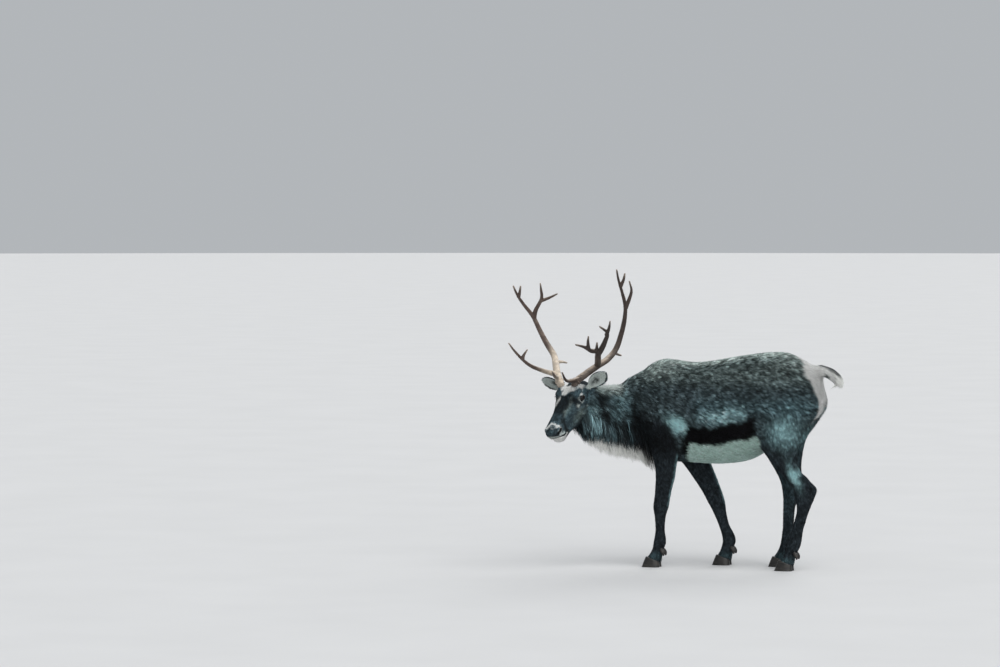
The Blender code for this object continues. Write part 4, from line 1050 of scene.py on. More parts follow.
@dataclass
class Markings:
    """Where each colour of the coat lies, for skin and tufts alike."""

    body: Body
    palette: Palette = field(default_factory=Palette)

    def paint(self, points: Array, normals: Array, survey: Survey) -> Array:
        """Colour of the coat at some points of the skin.

        Args:
            points: Places on the skin.
            normals: The skin's outward directions there.
            survey: The regions there.

        Returns:
            Linear colours, (points, 3).
        """
        wobble = 0.010 * lattice_noise(points, 0.030, 11)[:, None] * np.array((1.0, 0.6, 1.0))
        wobble += 0.005 * lattice_noise(points, 0.011, 12)[:, None]
        where = points + wobble
        colour = self.trunk(where, normals)
        shares = survey.shares
        legs = shares[:, 4:8].sum(1)
        colour = mix(colour, self.legs(where, normals), rise(legs, 0.25, 0.75))
        colour = self.rump(colour, where, normals)
        colour = mix(colour, self.neck(where, normals), rise(shares[:, 1], 0.3, 0.7))
        head = shares[:, 2] + shares[:, 8] + shares[:, 9]
        colour = mix(colour, self.head(where, normals), rise(head, 0.35, 0.65))
        ears = shares[:, 8] + shares[:, 9]
        colour = mix(colour, self.ears(where, normals), rise(ears, 0.4, 0.7))
        colour = mix(colour, self.tail(where, normals), rise(shares[:, 3], 0.3, 0.6))
        fleck = 2.00 * lattice_noise(points, 0.0075, 13) + 0.50 * lattice_noise(points, 0.020, 14)
        calm = (1 - 0.60 * head) * (1 - 0.45 * legs)
        mottle = np.exp(fleck * rise(colour.mean(1), 0.75, 0.15) * calm)
        return colour * mottle[:, None]

    def trunk(self, points: Array, normals: Array) -> Array:
        """Dark slate, paler along the back, with a painted highlight on the top line, a light stripe
        over a black band and belly, and painted shade in the flank crease and behind the shoulder.
        """
        hue = self.palette
        x, y, z = points.T
        colour = mix(hue.slate, hue.back, rise(z, 0.98, 1.08))
        # Painted highlight: paler on the withers, on the top of the rump and on every up-facing part
        # of the top line.
        top_highlight = 0.65 * bell(x, -0.41, 0.11) * rise(z, 1.02, 1.13)
        top_highlight += 0.30 * bell(x, 0.36, 0.12) * rise(z, 1.06, 1.17)
        top_highlight += 0.80 * rise(normals[:, 2], 0.80, 0.98) * rise(z, 1.0, 1.1)
        colour = mix(colour, hue.top_highlight, np.clip(top_highlight, 0, 0.90))
        colour = mix(colour, hue.grey, 0.55 * bell(z, 0.900, 0.045) * rise(x, -0.24, -0.12))
        colour = self.thigh(colour, x, z)
        middle = 0.822 + 0.20 * (x + 0.02) * rise(x, -0.30, 0.30)
        stripe = bell(z, middle + 0.022, 0.038) * rise(x, -0.22, -0.02) * rise(x, 0.150, 0.118)
        colour = mix(colour, hue.stripe, 0.95 * stripe)
        patch = bell(x, -0.262, 0.060) * bell(z - 0.45 * (-0.262 - x), 0.800, 0.034)
        colour = mix(colour, hue.glow, 0.95 * patch)
        belly = np.interp(x, (-0.26, -0.20, -0.09, 0.00, 0.11, 0.16, 0.225, 0.30),
                          (0.56, 0.700, 0.682, 0.700, 0.717, 0.738, 0.720, 0.70))
        band = rise(z, belly + 0.118, belly + 0.088) * rise(x, -0.275, -0.235) * rise(x, 0.19,
                                                                                    0.155)
        colour = mix(colour, hue.black, band)
        under = rise(z, belly + 0.014, belly - 0.008) * rise(x, -0.265, -0.235) * rise(x, 0.36,
                                                                                     0.28)
        colour = mix(colour, hue.belly, under)
        # Painted shade: black along the flank crease, where the skin folds in.
        crease = bell(x - 0.128 + 0.12 * (z - 0.86), 0.0, 0.014) * rise(z, 0.72, 0.78) * rise(
            z, 1.0, 0.90)
        colour = mix(colour, hue.black, 0.8 * crease)
        # Painted shade: darker in the hollow behind the shoulder blade.
        behind = bell(x + 0.205, 0.0, 0.030) * rise(z, 1.05, 0.98) * rise(z, 0.84, 0.90)
        colour = mix(colour, hue.dark, 0.5 * behind)
        chest = rise(x, -0.29, -0.41) * rise(z, 0.90, 0.80)
        return mix(colour, hue.black, 0.88 * chest)

    def thigh(self, colour: Array, x: Array, z: Array) -> Array:
        """Teal light on the thigh, strongest low down and toward the buttock."""
        hue = self.palette
        centre = 0.330 + 0.35 * np.clip(z - 0.78, 0, None)
        light = bell(x, centre, 0.085) * rise(z, 0.66, 0.74) * rise(z, 1.02, 0.88)
        colour = mix(colour, hue.grey, 0.8 * light)
        low = bell(x, 0.345, 0.075) * bell(z, 0.765, 0.070)
        return mix(colour, mix(hue.stripe, hue.glow, 0.45), 0.9 * low)

    def legs(self, points: Array, normals: Array) -> Array:
        """Blackish, with a pale line down the rear edges and a pale ring above the hooves."""
        hue = self.palette
        x, y, z = points.T
        colour = mix(hue.dark, hue.slate, rise(z, 0.70, 0.88) * (x > 0.05))
        fore = (x < 0.10).astype(float)
        colour = self.thigh(colour, x, z)
        arm = fore * bell(z, 0.700, 0.090)
        colour = mix(colour, hue.black, 0.80 * arm)
        inner = rise(-np.sign(y) * normals[:, 1], 0.35, 0.85)
        colour = mix(colour, hue.grey, 0.30 * inner * rise(z, 0.15, 0.40) * (1 - fore))
        rear = rise(normals[:, 0], 0.72, 0.95) * rise(z, 0.30, 0.42) * rise(z, 0.80, 0.68)
        colour = mix(colour, hue.stripe, 0.65 * rear * fore)
        hock = bell(x + 0.35 * (z - 0.52), 0.402, 0.022) * bell(z, 0.530, 0.060) * (y < 0)
        colour = mix(colour, hue.glow, 0.95 * hock)
        return mix(colour, hue.grey, 0.7 * bell(z, 0.062, 0.016))

    def rump(self, colour: Array, points: Array, normals: Array) -> Array:
        """White patch round the root of the tail and down between the buttocks."""
        x, y, z = points.T
        half = np.interp(z, (0.62, 0.70, 0.80, 0.90, 1.00, 1.08, 1.125, 1.16),
                         (0.012, 0.034, 0.060, 0.098, 0.114, 0.100, 0.070, 0.020))
        patch = rise(np.abs(y), half + 0.008, half - 0.008) * rise(x, 0.34, 0.40)
        patch = patch * rise(normals[:, 0], -0.12, 0.14) * rise(z, 0.60, 0.70)
        return mix(colour, self.palette.white, 0.95 * patch)

    def neck(self, points: Array, normals: Array) -> Array:
        """Teal with dark upright streaks, teal patches of painted highlight, painted shade in two
        folds, a painted highlight along the crest and a white throat mane.
        """
        hue = self.palette
        x, y, z = points.T
        streak = lattice_noise(points * np.array((1.0, 1.0, 0.16)), 0.020, 15)
        colour = mix(hue.slate, hue.grey, np.clip(0.34 + 0.55 * streak, 0, 1))
        # Painted highlight: teal patches of light on the side of the neck.
        light = bell(x, -0.720, 0.035) * bell(z, 0.850, 0.060)
        light += 0.7 * bell(x, -0.600, 0.040) * bell(z, 0.930, 0.090)
        colour = mix(colour, hue.stripe, 0.42 * np.clip(light, 0, 1))
        # Painted shade: black in two upright folds of the neck.
        fold = bell(x + 0.69 + 0.40 * (z - 0.92), 0.0, 0.013) * rise(z, 1.00, 0.95) * rise(
            z, 0.78, 0.84)
        fold += bell(x + 0.522, 0.0, 0.017) * rise(z, 1.06, 0.99) * rise(z, 0.68, 0.74)
        colour = mix(colour, hue.black, 0.80 * np.clip(fold, 0, 1))
        # Painted highlight: paler, then near white, on the up-facing crest of the neck.
        colour = mix(colour, hue.top_highlight, 0.75 * rise(normals[:, 2], 0.45, 0.80))
        colour = mix(colour, hue.pale, 0.90 * rise(normals[:, 2], 0.72, 0.95))
        low = rise(normals[:, 2], 0.10, -0.40) * rise(x, -0.70, -0.56)
        low += bell(z + 0.55 * (x + 0.72), 0.760, 0.022) * rise(x, -0.66, -0.70)
        colour = mix(colour, hue.black, 0.80 * np.clip(low, 0, 1))
        shoulder = rise(x, -0.56, -0.49) * rise(z, 0.96, 0.84)
        colour = mix(colour, hue.black, 0.92 * shoulder)
        under = rise(normals[:, 2], -0.42, -0.68) * rise(x, -0.44, -0.49)
        return mix(colour, hue.white, under * rise(z, 0.785, 0.750))

    def head(self, points: Array, normals: Array) -> Array:
        """Dark nose bridge, pale brow, eye marks, pale muzzle ring and white chin."""
        hue = self.palette
        head = HEAD.into(points)
        a, b, c = head.T
        top = dot(normals, UP[None])[:, 0]
        side = np.abs(b)
        colour = mix(hue.face, hue.grey, 0.35 * rise(a, 0.00, -0.08))
        cheek = bell(a, 0.045, 0.050) * bell(c, -0.075, 0.038) * rise(top, 0.4, 0.0)
        colour = mix(colour, hue.olive, 0.9 * cheek)
        blue = bell(a, 0.115, 0.026) * bell(c, 0.010, 0.014) * rise(side, 0.030, 0.038)
        colour = mix(colour, hue.stripe, 0.75 * blue)
        bridge = rise(top, 0.15, 0.60) * rise(a, 0.015, 0.040) * rise(a, 0.240, 0.222)
        colour = mix(colour, hue.black, bridge * (0.45 + 0.40 * rise(a, 0.19, 0.14)))
        # Painted highlight along the up-facing edges of the nose.
        colour = mix(colour, hue.top_highlight, 0.35 * bell(side, 0.042, 0.008) * bell(a, 0.130, 0.075)
                     * rise(top, 0.2, 0.5))
        eye_line = bell(c, 0.010, 0.022) * rise(a, 0.085, 0.045) * rise(a, -0.02, 0.0)
        colour = mix(colour, hue.black, 0.80 * eye_line * rise(side, 0.035, 0.050))
        ahead = 0.024 - 0.95 * np.clip(side - 0.006, 0, None)
        behind = -0.048 - 1.05 * np.clip(side - 0.005, 0, None)
        brow = rise(a, ahead + 0.007, ahead - 0.009) * rise(a, behind - 0.008, behind + 0.008)
        brow = brow * rise(side, 0.078, 0.064) * rise(top, -0.5, 0.0) * rise(c, 0.014, 0.032)
        # The brow band is white coat; the extra pale strip down the inner orbit, on the right side
        # only, is a painted highlight.
        inner = bell(a + 1.66 * (b + 0.028), 0.071, 0.026) * rise(b, -0.016, -0.026) * rise(
            a, -0.01, 0.01)
        colour = mix(colour, hue.white, np.clip(0.95 * brow + 0.7 * inner * rise(c, 0.02, 0.03),
                                                0, 1))
        # Dark fur behind the brow band and on the antler stalks, darkened further as painted shade
        # under the antler beams.
        colour = mix(colour, hue.dark, 0.9 * rise(a, behind + 0.002, behind - 0.012)
                     * rise(top, 0.1, 0.5))
        colour = mix(colour, hue.black, 0.92 * rise(c, 0.066, 0.076) * rise(a, 0.02, 0.0))
        jaw = rise(c, -0.098, -0.118) * rise(a, -0.02, 0.03) * rise(a, 0.20, 0.15)
        colour = mix(colour, hue.black, 0.70 * jaw)
        lip_side = bell(a, 0.192, 0.021) * rise(side, 0.028, 0.036)
        colour = mix(colour, hue.black, 0.85 * lip_side)
        for eye in EYES:
            g, s, t = eye.into(points).T
            r = np.sqrt((s / 0.0255) ** 2 + (t / 0.0185) ** 2)
            front = g > -0.012
            colour = mix(colour, hue.black, 0.90 * rise(r, 1.02, 0.90) * front)
            ring = bell(r, 1.13, 0.115) * (0.35 + 0.65 * rise(t, 0.006, -0.004))
            ring = ring * rise(s, -0.030, -0.022)
            colour = mix(colour, hue.pale, 0.90 * ring * front)
            corner = bell(s, -0.029, 0.007) * bell(t, -0.001, 0.006)
            colour = mix(colour, hue.black, 0.95 * corner * front)
            upper = bell(s, -0.006, 0.009) * bell(t, 0.0215, 0.0042)
            colour = mix(colour, hue.white, 0.95 * upper * front)
        spot = bell(a, 0.043, 0.010) * bell(c, -0.010, 0.010) * rise(side, 0.045, 0.055)
        small = bell(a, -0.020, 0.007) * bell(c, -0.057, 0.007) * rise(side, 0.055, 0.065)
        colour = mix(colour, hue.pale, 0.9 * np.clip(spot + 0.7 * small, 0, 1))
        ring = bell(a, 0.2485, 0.0066) * rise(top, -0.3, 0.2)
        colour = mix(colour, hue.white, 0.85 * ring)
        nose = rise(a, 0.256, 0.266)
        colour = mix(colour, hue.dark, 0.90 * nose * rise(side, 0.040, 0.034))
        nose = bell(a, 0.276, 0.010) * bell(b, 0.0, 0.020) * rise(c, -0.045, -0.030)
        colour = mix(colour, hue.grey, 0.6 * nose)
        rim = rise(a, 0.246, 0.258) * bell(side, 0.045, 0.005) * rise(top, 0.7, 0.3)
        colour = mix(colour, hue.pale, 0.80 * rim)
        # Black in and round the nostrils: dark bare skin, and painted shade in the openings.
        gap = self.body.head.nostril_gap(head)
        colour = mix(colour, hue.black, 0.95 * rise(gap, 2.0, 1.4))
        mouth = HEAD.into(self.body.head.lip_line(0.0, 6))
        half = len(mouth) // 2
        drop = c - np.interp(a, mouth[:half, 0], mouth[:half, 2])
        chin = rise(drop, -0.0015, -0.0040) * rise(a, 0.190, 0.218)
        colour = mix(colour, hue.white, 0.95 * chin)
        upper = bell(drop, 0.0120, 0.0042) * rise(a, 0.215, 0.235)
        colour = mix(colour, hue.pale, 0.80 * upper)
        # The slit along the mouth: dark bare lips, and painted shade in the groove between them.
        slit = rise(drop, -0.0030, -0.0005) * rise(drop, 0.0080, 0.0050) * rise(a, 0.165, 0.185)
        return mix(colour, hue.bare, slit)

    def ears(self, points: Array, normals: Array) -> Array:
        """Pale inside with painted shade deep in the cup, and dark at the rim and on the back, each
        ear by the way it faces.
        """
        hue = self.palette
        colour = np.tile(hue.slate, (len(points), 1)).astype(float)
        for ear in EARS:
            root, axis, facing, across, length = ear.axes()
            offset = points - root
            along = offset @ axis / length
            wide = np.abs(offset @ across) / ear.half_width
            profile = np.array(ear.profile)
            edge = wide / np.interp(along, profile[:, 0], profile[:, 1])
            inner = rise(normals @ facing, -0.05, 0.35) * rise(edge, 0.98, 0.80)
            mine = np.abs(offset @ axis - 0.08) < 0.11
            mine &= np.linalg.norm(offset, axis=1) < 0.2
            here = mix(mix(hue.slate, hue.grey, rise(normals @ facing, -0.1, -0.9)), hue.pale,
                       0.90 * inner)
            here = mix(here, hue.black, 0.95 * bell(edge, 1.0, 0.11) * rise(along, 0.15, 0.4))
            # Painted shade: black deep in the middle of the cup.
            deep = rise(normals @ facing, 0.1, 0.5) * bell(wide, 0.10, 0.26) * bell(along, 0.40,
                                                                                  0.15)
            here = mix(here, hue.black, 0.95 * deep)
            colour[mine] = here[mine]
        return colour

    def tail(self, points: Array, normals: Array) -> Array:
        """White, with a dark line along the top."""
        hue = self.palette
        line = rise(np.abs(points[:, 1]), 0.020, 0.010) * rise(normals[:, 2], 0.30, 0.60)
        return mix(hue.white, hue.dark, 0.90 * line * rise(points[:, 0], 0.605, 0.58))


# Finishes


class Tree:
    """A material's nodes, with short ways to add and join them."""

    def __init__(self, name: str) -> None:
        """Start a material with a Principled shader."""
        self.material = bpy.data.materials.new(name)
        self.material.use_nodes = True
        self.nodes = self.material.node_tree.nodes
        self.links = self.material.node_tree.links
        self.shader = self.nodes["Principled BSDF"]

    def add(self, kind: str, **settings: object) -> bpy.types.Node:
        """Add a node and set its properties and the sockets named with a leading s_."""
        node = self.nodes.new(kind)
        for key, value in settings.items():
            if key.startswith("s_"):
                node.inputs[key[2:].replace("_", " ")].default_value = value
            else:
                setattr(node, key, value)
        return node

    def join(self, start: bpy.types.NodeSocket, end: bpy.types.NodeSocket) -> None:
        """Link two sockets."""
        self.links.new(start, end)

    def constants(self, **values: object) -> None:
        """Set the shader's own sockets, written with underscores for blanks."""
        for key, value in values.items():
            self.shader.inputs[key.replace("_", " ")].default_value = value

    def noise(self, scale: float, detail: float = 3.0, stretch: tuple = (1, 1, 1)
              ) -> bpy.types.NodeSocket:
        """A noise on Object coordinates, stretched along the axes."""
        place = self.add("ShaderNodeTexCoord")
        mapping = self.add("ShaderNodeMapping", s_Scale=stretch)
        self.join(place.outputs["Object"], mapping.inputs["Vector"])
        noise = self.add("ShaderNodeTexNoise", s_Scale=scale, s_Detail=detail)
        self.join(mapping.outputs["Vector"], noise.inputs["Vector"])
        return noise.outputs["Fac"]

    def ranged(self, value: bpy.types.NodeSocket, low: float, high: float,
               span: tuple = (0.3, 0.7)) -> bpy.types.NodeSocket:
        """Map a noise's middle span to the range from low to high."""
        node = self.add("ShaderNodeMapRange", s_From_Min=span[0], s_From_Max=span[1],
                        s_To_Min=low, s_To_Max=high)
        self.join(value, node.inputs["Value"])
        return node.outputs["Result"]

    def bump(self, height: bpy.types.NodeSocket, strength: float, distance: float) -> None:
        """Raise the surface by a height in metres."""
        node = self.add("ShaderNodeBump", s_Strength=strength, s_Distance=distance)
        self.join(height, node.inputs["Height"])
        self.join(node.outputs["Normal"], self.shader.inputs["Normal"])


@dataclass(frozen=True)
class HairFinish:
    """Hair whose colour is the painted coat, varied by a fine noise."""

    name: str
    grain: float = 900.0
    contrast: float = 0.45
    roughness: float = 0.78
    sheen: float = 0.02
    bump_depth: float = 0.0006

    def material(self) -> bpy.types.Material:
        """The painted colour times a noise, with a little sheen and a fine bump."""
        tree = Tree(self.name)
        paint = tree.add("ShaderNodeAttribute", attribute_name=SKIN_ATTRIBUTE)
        grain = tree.noise(self.grain, 2.0)
        shade = tree.ranged(grain, 1.0 - self.contrast, 1.0 + self.contrast)
        scale = tree.add("ShaderNodeVectorMath", operation="SCALE")
        tree.join(paint.outputs["Color"], scale.inputs[0])
        tree.join(shade, scale.inputs["Scale"])
        tree.join(scale.outputs["Vector"], tree.shader.inputs["Base Color"])
        rough = tree.ranged(grain, self.roughness - 0.08, self.roughness + 0.08)
        tree.join(rough, tree.shader.inputs["Roughness"])
        tree.constants(Sheen_Weight=self.sheen, Sheen_Roughness=0.5, Specular_IOR_Level=0.08)
        tree.bump(grain, 0.6, self.bump_depth)
        return tree.material


@dataclass(frozen=True)
class AntlerFinish:
    """Bone stained brown, with fine grooves and paler raised parts."""

    name: str = "antler bone"

    def material(self) -> bpy.types.Material:
        """The painted colour with streaks and pores."""
        tree = Tree(self.name)
        paint = tree.add("ShaderNodeAttribute", attribute_name=SKIN_ATTRIBUTE)
        blotch = tree.noise(38.0, 5.0)
        grain = tree.noise(420.0, 4.0)
        total = tree.add("ShaderNodeMath", operation="MULTIPLY")
        tree.join(tree.ranged(blotch, 0.70, 1.35), total.inputs[0])
        tree.join(tree.ranged(grain, 0.75, 1.25), total.inputs[1])
        scale = tree.add("ShaderNodeVectorMath", operation="SCALE")
        tree.join(paint.outputs["Color"], scale.inputs[0])
        tree.join(total.outputs["Value"], scale.inputs["Scale"])
        tree.join(scale.outputs["Vector"], tree.shader.inputs["Base Color"])
        tree.join(tree.ranged(grain, 0.42, 0.62), tree.shader.inputs["Roughness"])
        tree.constants(Specular_IOR_Level=0.45)
        tree.bump(grain, 0.5, 0.0006)
        return tree.material


@dataclass(frozen=True)
class HoofFinish:
    """Black horn with level growth rings and a patchy paler brown."""

    name: str = "hoof horn"

    def material(self) -> bpy.types.Material:
        """Dark horn with level bands of colour and height, and patchy gloss."""
        tree = Tree(self.name)
        rings = tree.noise(190.0, 2.0, (0.10, 0.10, 1.0))
        wear = tree.noise(60.0, 5.0)
        total = tree.add("ShaderNodeMath", operation="MULTIPLY")
        tree.join(rings, total.inputs[0])
        tree.join(wear, total.inputs[1])
        ramp = tree.add("ShaderNodeValToRGB")
        ramp.color_ramp.elements[0].position = 0.18
        ramp.color_ramp.elements[0].color = (0.006, 0.0055, 0.005, 1.0)
        ramp.color_ramp.elements[1].position = 0.42
        ramp.color_ramp.elements[1].color = (0.032, 0.028, 0.023, 1.0)
        tree.join(total.outputs["Value"], ramp.inputs["Fac"])
        tree.join(ramp.outputs["Color"], tree.shader.inputs["Base Color"])
        tree.join(tree.ranged(wear, 0.30, 0.50), tree.shader.inputs["Roughness"])
        tree.bump(rings, 0.5, 0.0008)
        return tree.material


@dataclass(frozen=True)
class WetFinish:
    """A smooth wet surface with the painted colour, under a clear film."""

    name: str
    roughness: float = 0.10

    def material(self) -> bpy.types.Material:
        """The painted colour, a faint fibre noise and a clear coat."""
        tree = Tree(self.name)
        paint = tree.add("ShaderNodeAttribute", attribute_name=SKIN_ATTRIBUTE)
        fibres = tree.ranged(tree.noise(1500.0, 3.0), 0.7, 1.3)
        scale = tree.add("ShaderNodeVectorMath", operation="SCALE")
        tree.join(paint.outputs["Color"], scale.inputs[0])
        tree.join(fibres, scale.inputs["Scale"])
        tree.join(scale.outputs["Vector"], tree.shader.inputs["Base Color"])
        tree.constants(Roughness=self.roughness, Specular_IOR_Level=0.2, Coat_Weight=0.6,
                       Coat_Roughness=0.02, Coat_IOR=1.36)
        return tree.material


@dataclass(frozen=True)
class FloorFinish:
    """Plain pale matt floor."""

    name: str = "studio floor"

    def material(self) -> bpy.types.Material:
        """Pale grey with a very faint noise."""
        tree = Tree(self.name)
        shade = tree.ranged(tree.noise(1.4, 2.0), 0.60, 0.62)
        colour = tree.add("ShaderNodeCombineColor")
        for socket in ("Red", "Green", "Blue"):
            tree.join(shade, colour.inputs[socket])
        tree.join(colour.outputs["Color"], tree.shader.inputs["Base Color"])
        tree.constants(Roughness=0.85, Specular_IOR_Level=0.2)
        return tree.material


# The coat


@dataclass(frozen=True)
class Pelt:
    """The hair of one region: lengths of a tuft, its width, thickness, lift and spacing."""

    length: float
    width: float
    thickness: float
    lift: float
    spacing: float
    stray: float = 0.22


PELTS = {
    Region.TRUNK: Pelt(0.0290, 0.0031, 0.0017, 0.11, 0.00350),
    Region.NECK: Pelt(0.0360, 0.0033, 0.0018, 0.14, 0.0036, 0.26),
    Region.HEAD: Pelt(0.0105, 0.0015, 0.0007, 0.13, 0.00174, 0.20),
    Region.TAIL: Pelt(0.0240, 0.0024, 0.0012, 0.22, 0.0026, 0.35),
    Region.FORE_LEFT: Pelt(0.0150, 0.0022, 0.0010, 0.11, 0.0028),
    Region.FORE_RIGHT: Pelt(0.0150, 0.0022, 0.0010, 0.11, 0.0028),
    Region.HIND_LEFT: Pelt(0.0160, 0.0023, 0.0010, 0.11, 0.0029),
    Region.HIND_RIGHT: Pelt(0.0160, 0.0023, 0.0010, 0.11, 0.0029),
    Region.EAR_LEFT: Pelt(0.0095, 0.0013, 0.0006, 0.18, 0.0018, 0.30),
    Region.EAR_RIGHT: Pelt(0.0095, 0.0013, 0.0006, 0.18, 0.0018, 0.30),
}
# Where each region's unwrap lies on the bake map: lowest corner and size.
ATLAS = {
    Region.TRUNK: (0.00, 0.00, 0.60, 0.50), Region.NECK: (0.61, 0.00, 0.38, 0.30),
    Region.HEAD: (0.00, 0.51, 0.45, 0.48), Region.TAIL: (0.61, 0.31, 0.18, 0.18),
    Region.FORE_LEFT: (0.46, 0.51, 0.13, 0.48), Region.FORE_RIGHT: (0.60, 0.51, 0.12, 0.48),
    Region.HIND_LEFT: (0.73, 0.51, 0.13, 0.48), Region.HIND_RIGHT: (0.87, 0.51, 0.12, 0.48),
    Region.EAR_LEFT: (0.80, 0.31, 0.09, 0.18), Region.EAR_RIGHT: (0.90, 0.31, 0.09, 0.18),
}


def unwrap(survey: Survey) -> Array:
    """Place of each point on the bake map: round its region's line, and along it."""
    corner = np.array([ATLAS[region] for region in Region])[survey.region]
    around = corner[:, 0] + 0.004 + (corner[:, 2] - 0.008) * np.clip(survey.around, 0, 1)
    along = corner[:, 1] + 0.004 + (corner[:, 3] - 0.008) * np.clip(survey.station, 0, 1)
    return np.stack([around, along], 1)


@dataclass
class Roots:
    """Where tufts grow: places, outward directions, lie, survey and painted colour."""

    points: Array
    normals: Array
    survey: Survey
    colour: Array

    def only(self, picked: Array) -> "Roots":
        """The picked roots."""
        s = self.survey
        survey = Survey(s.shares[picked], s.region[picked], s.lie[picked], s.station[picked],
                        s.around[picked])
        return Roots(self.points[picked], self.normals[picked], survey, self.colour[picked])

    def lie(self, draw: np.random.Generator, stray: Array) -> Array:
        """The lie of the hair, flat on the skin and turned a little at random.

        It parts round the eyes and runs up the stalks of the antlers.
        """
        way = self.survey.lie.copy()
        for eye in EYES:
            offset = self.points - eye.place()
            gap = np.linalg.norm(offset, axis=1, keepdims=True)
            way += unit(offset) * (2.2 * bell(gap, 0.0, 0.030))
        c = HEAD.into(self.points)[:, 2:]
        way += UP * (3.0 * rise(c, 0.052, 0.060))
        way = unit(way - self.normals * dot(way, self.normals))
        side = np.cross(self.normals, way)
        return unit(way + side * (draw.normal(0.0, 1.0, (len(way), 1)) * stray.reshape(-1, 1)))

    def reach(self) -> Array:
        """Shares of the full hair length: short at eyes and muzzle, longer over the hooves."""
        head = HEAD.into(self.points)
        share = np.where(self.survey.shares[:, 2] > 0.5,
                         np.interp(head[:, 0], (0.10, 0.20, 0.26), (1.0, 0.70, 0.42)), 1.0)
        for eye in EYES:
            gap = np.linalg.norm(self.points - eye.place(), axis=1)
            share = share * (0.40 + 0.60 * rise(gap, 0.022, 0.048))
        legs = self.survey.shares[:, 4:8].sum(1) > 0.5
        z = self.points[:, 2]
        low = np.interp(z, (0.055, 0.080, 0.110, 0.350, 0.600), (1.5, 1.1, 0.75, 0.85, 1.2))
        return np.where(legs, low, share)[:, None]


def spread_roots(skin: Shape, survey: Survey, markings: Markings, density: Array,
                 draw: np.random.Generator) -> Roots:
    """Strew roots over the skin's triangles.

    Args:
        skin: The skin.
        survey: The survey of its points; not used.
        markings: The coat's colours.
        density: Roots for each square metre at each point.
        draw: The random draws.

    Returns:
        The roots, with what the skin knows at each.
    """
    tris = skin.tris
    a, b, c = (skin.points[tris[:, i]] for i in range(3))
    area = 0.5 * np.linalg.norm(np.cross(b - a, c - a), axis=1)
    wanted = area * density[tris].mean(1)
    total = np.cumsum(wanted)
    count = int(total[-1])
    pick = np.searchsorted(total, (np.arange(count) + draw.random(count)) / count * total[-1])
    pick = np.minimum(pick, len(tris) - 1)
    u, v = draw.random((2, count, 1))
    flip = u + v > 1
    u, v = np.where(flip, 1 - u, u), np.where(flip, 1 - v, v)
    points = a[pick] * (1 - u - v) + b[pick] * u + c[pick] * v
    all_normals = skin.normals()
    corner = all_normals[tris[pick]]
    normals = unit(corner[:, 0] * (1 - u - v) + corner[:, 1] * u + corner[:, 2] * v)
    here = markings.body.survey(points)
    return Roots(points, normals, here, markings.paint(points, normals, here))


@dataclass
class Coat:
    """The short coat: flat three-sided tufts that lie along the body and overlap."""

    skin: Shape
    survey: Survey
    markings: Markings
    seed: int = 41
    sink: float = 0.0012
    most: int = 48000

    def roots(self, draw: np.random.Generator) -> Roots:
        """Roots for all regions, as dense as each pelt asks."""
        spacing = np.array([PELTS[region].spacing for region in Region])
        density = self.survey.shares @ (1.0 / spacing ** 2)
        head = HEAD.into(self.skin.points)
        near = rise(self.markings.body.head.nostril_gap(head), 1.1, 1.5)
        for eye in EYES:
            g, s, t = eye.into(self.skin.points).T
            near = near * np.where((g > 0) & (np.hypot(s, t) < 0.030),
                                   rise(eye.open_share(s, t), 1.15, 1.5), 1.0)
        near = near * rise(self.skin.points[:, 2], 0.046, 0.056)
        return spread_roots(self.skin, self.survey, self.markings, density * near, draw)

    def tufts(self, roots: Roots, draw: np.random.Generator) -> tuple[Shape, Array, Array]:
        """Run a three-sided taper from each root along the lie, lifted a little at its tip.

        Args:
            roots: Where the tufts grow.
            draw: The random draws.

        Returns:
            The tufts as one shape, the colour and the bake place of each of its points.
        """
        count = len(roots.points)
        pelts = [PELTS[region] for region in Region]
        table = np.array([(p.length, p.width, p.thickness, p.lift, p.stray) for p in pelts])
        length, width, thick, lift, stray = (roots.survey.shares @ table).T[:, :, None]
        length = length * roots.reach() * draw.uniform(0.65, 1.25, (count, 1))
        width = width * draw.uniform(0.7, 1.3, (count, 1))
        lift = lift * draw.uniform(0.3, 1.6, (count, 1))
        way = roots.lie(draw, stray)
        out = roots.normals
        side = np.cross(out, way)
        root = roots.points - out * self.sink
        tip = root + way * length + out * (lift * length + 1.6 * self.sink)
        rings = np.stack([root + side * width * 0.5, root + out * thick, root - side * width
                          * 0.5], axis=1)
        shape = many_tapers(rings[:, None], tip)
        tone = draw.normal(1.0, 0.20, (count, 1)) + 0.0 * roots.colour
        shade = np.array((0.66,) * 3 + (1.30,))
        colour = (roots.colour * np.clip(tone, 0.45, 1.8))[:, None] * shade[None, :, None]
        local = np.array(((-0.5, -0.5), (0.0, -0.4), (0.5, -0.5), (0.0, 0.5))) * PATCH
        uv = unwrap(roots.survey)[:, None] + local[None]
        return shape, colour.reshape(-1, 3), uv.reshape(-1, 2)

    def build(self, material: bpy.types.Material) -> list[bpy.types.Object]:
        """Make the coat in pieces, each of neighbouring roots, under the face limit.

        Args:
            material: The hair's material.

        Returns:
            The coat's objects.
        """
        draw = np.random.default_rng(self.seed)
        roots = self.roots(draw)
        pieces = []
        groups = {"trunk": (0,), "neck": (1,), "head": (2, 8, 9), "rear": (3, 6, 7),
                  "fore": (4, 5)}
        for name, members in groups.items():
            mine = np.flatnonzero(np.isin(roots.survey.region, members))
            parts = math.ceil(len(mine) / self.most)
            mine = mine[np.argsort(roots.points[mine, 0], kind="stable")]
            for index, picked in enumerate(np.array_split(mine, parts)):
                shape, colour, uv = self.tufts(roots.only(picked), draw)
                obj = add_mesh(f"coat_{name}_{index + 1}", shape, colour, uv)
                obj.data.materials.append(material)
                pieces.append(obj)
        LOG.info("coat: %d tufts in %d pieces", len(roots.points), len(pieces))
        return pieces


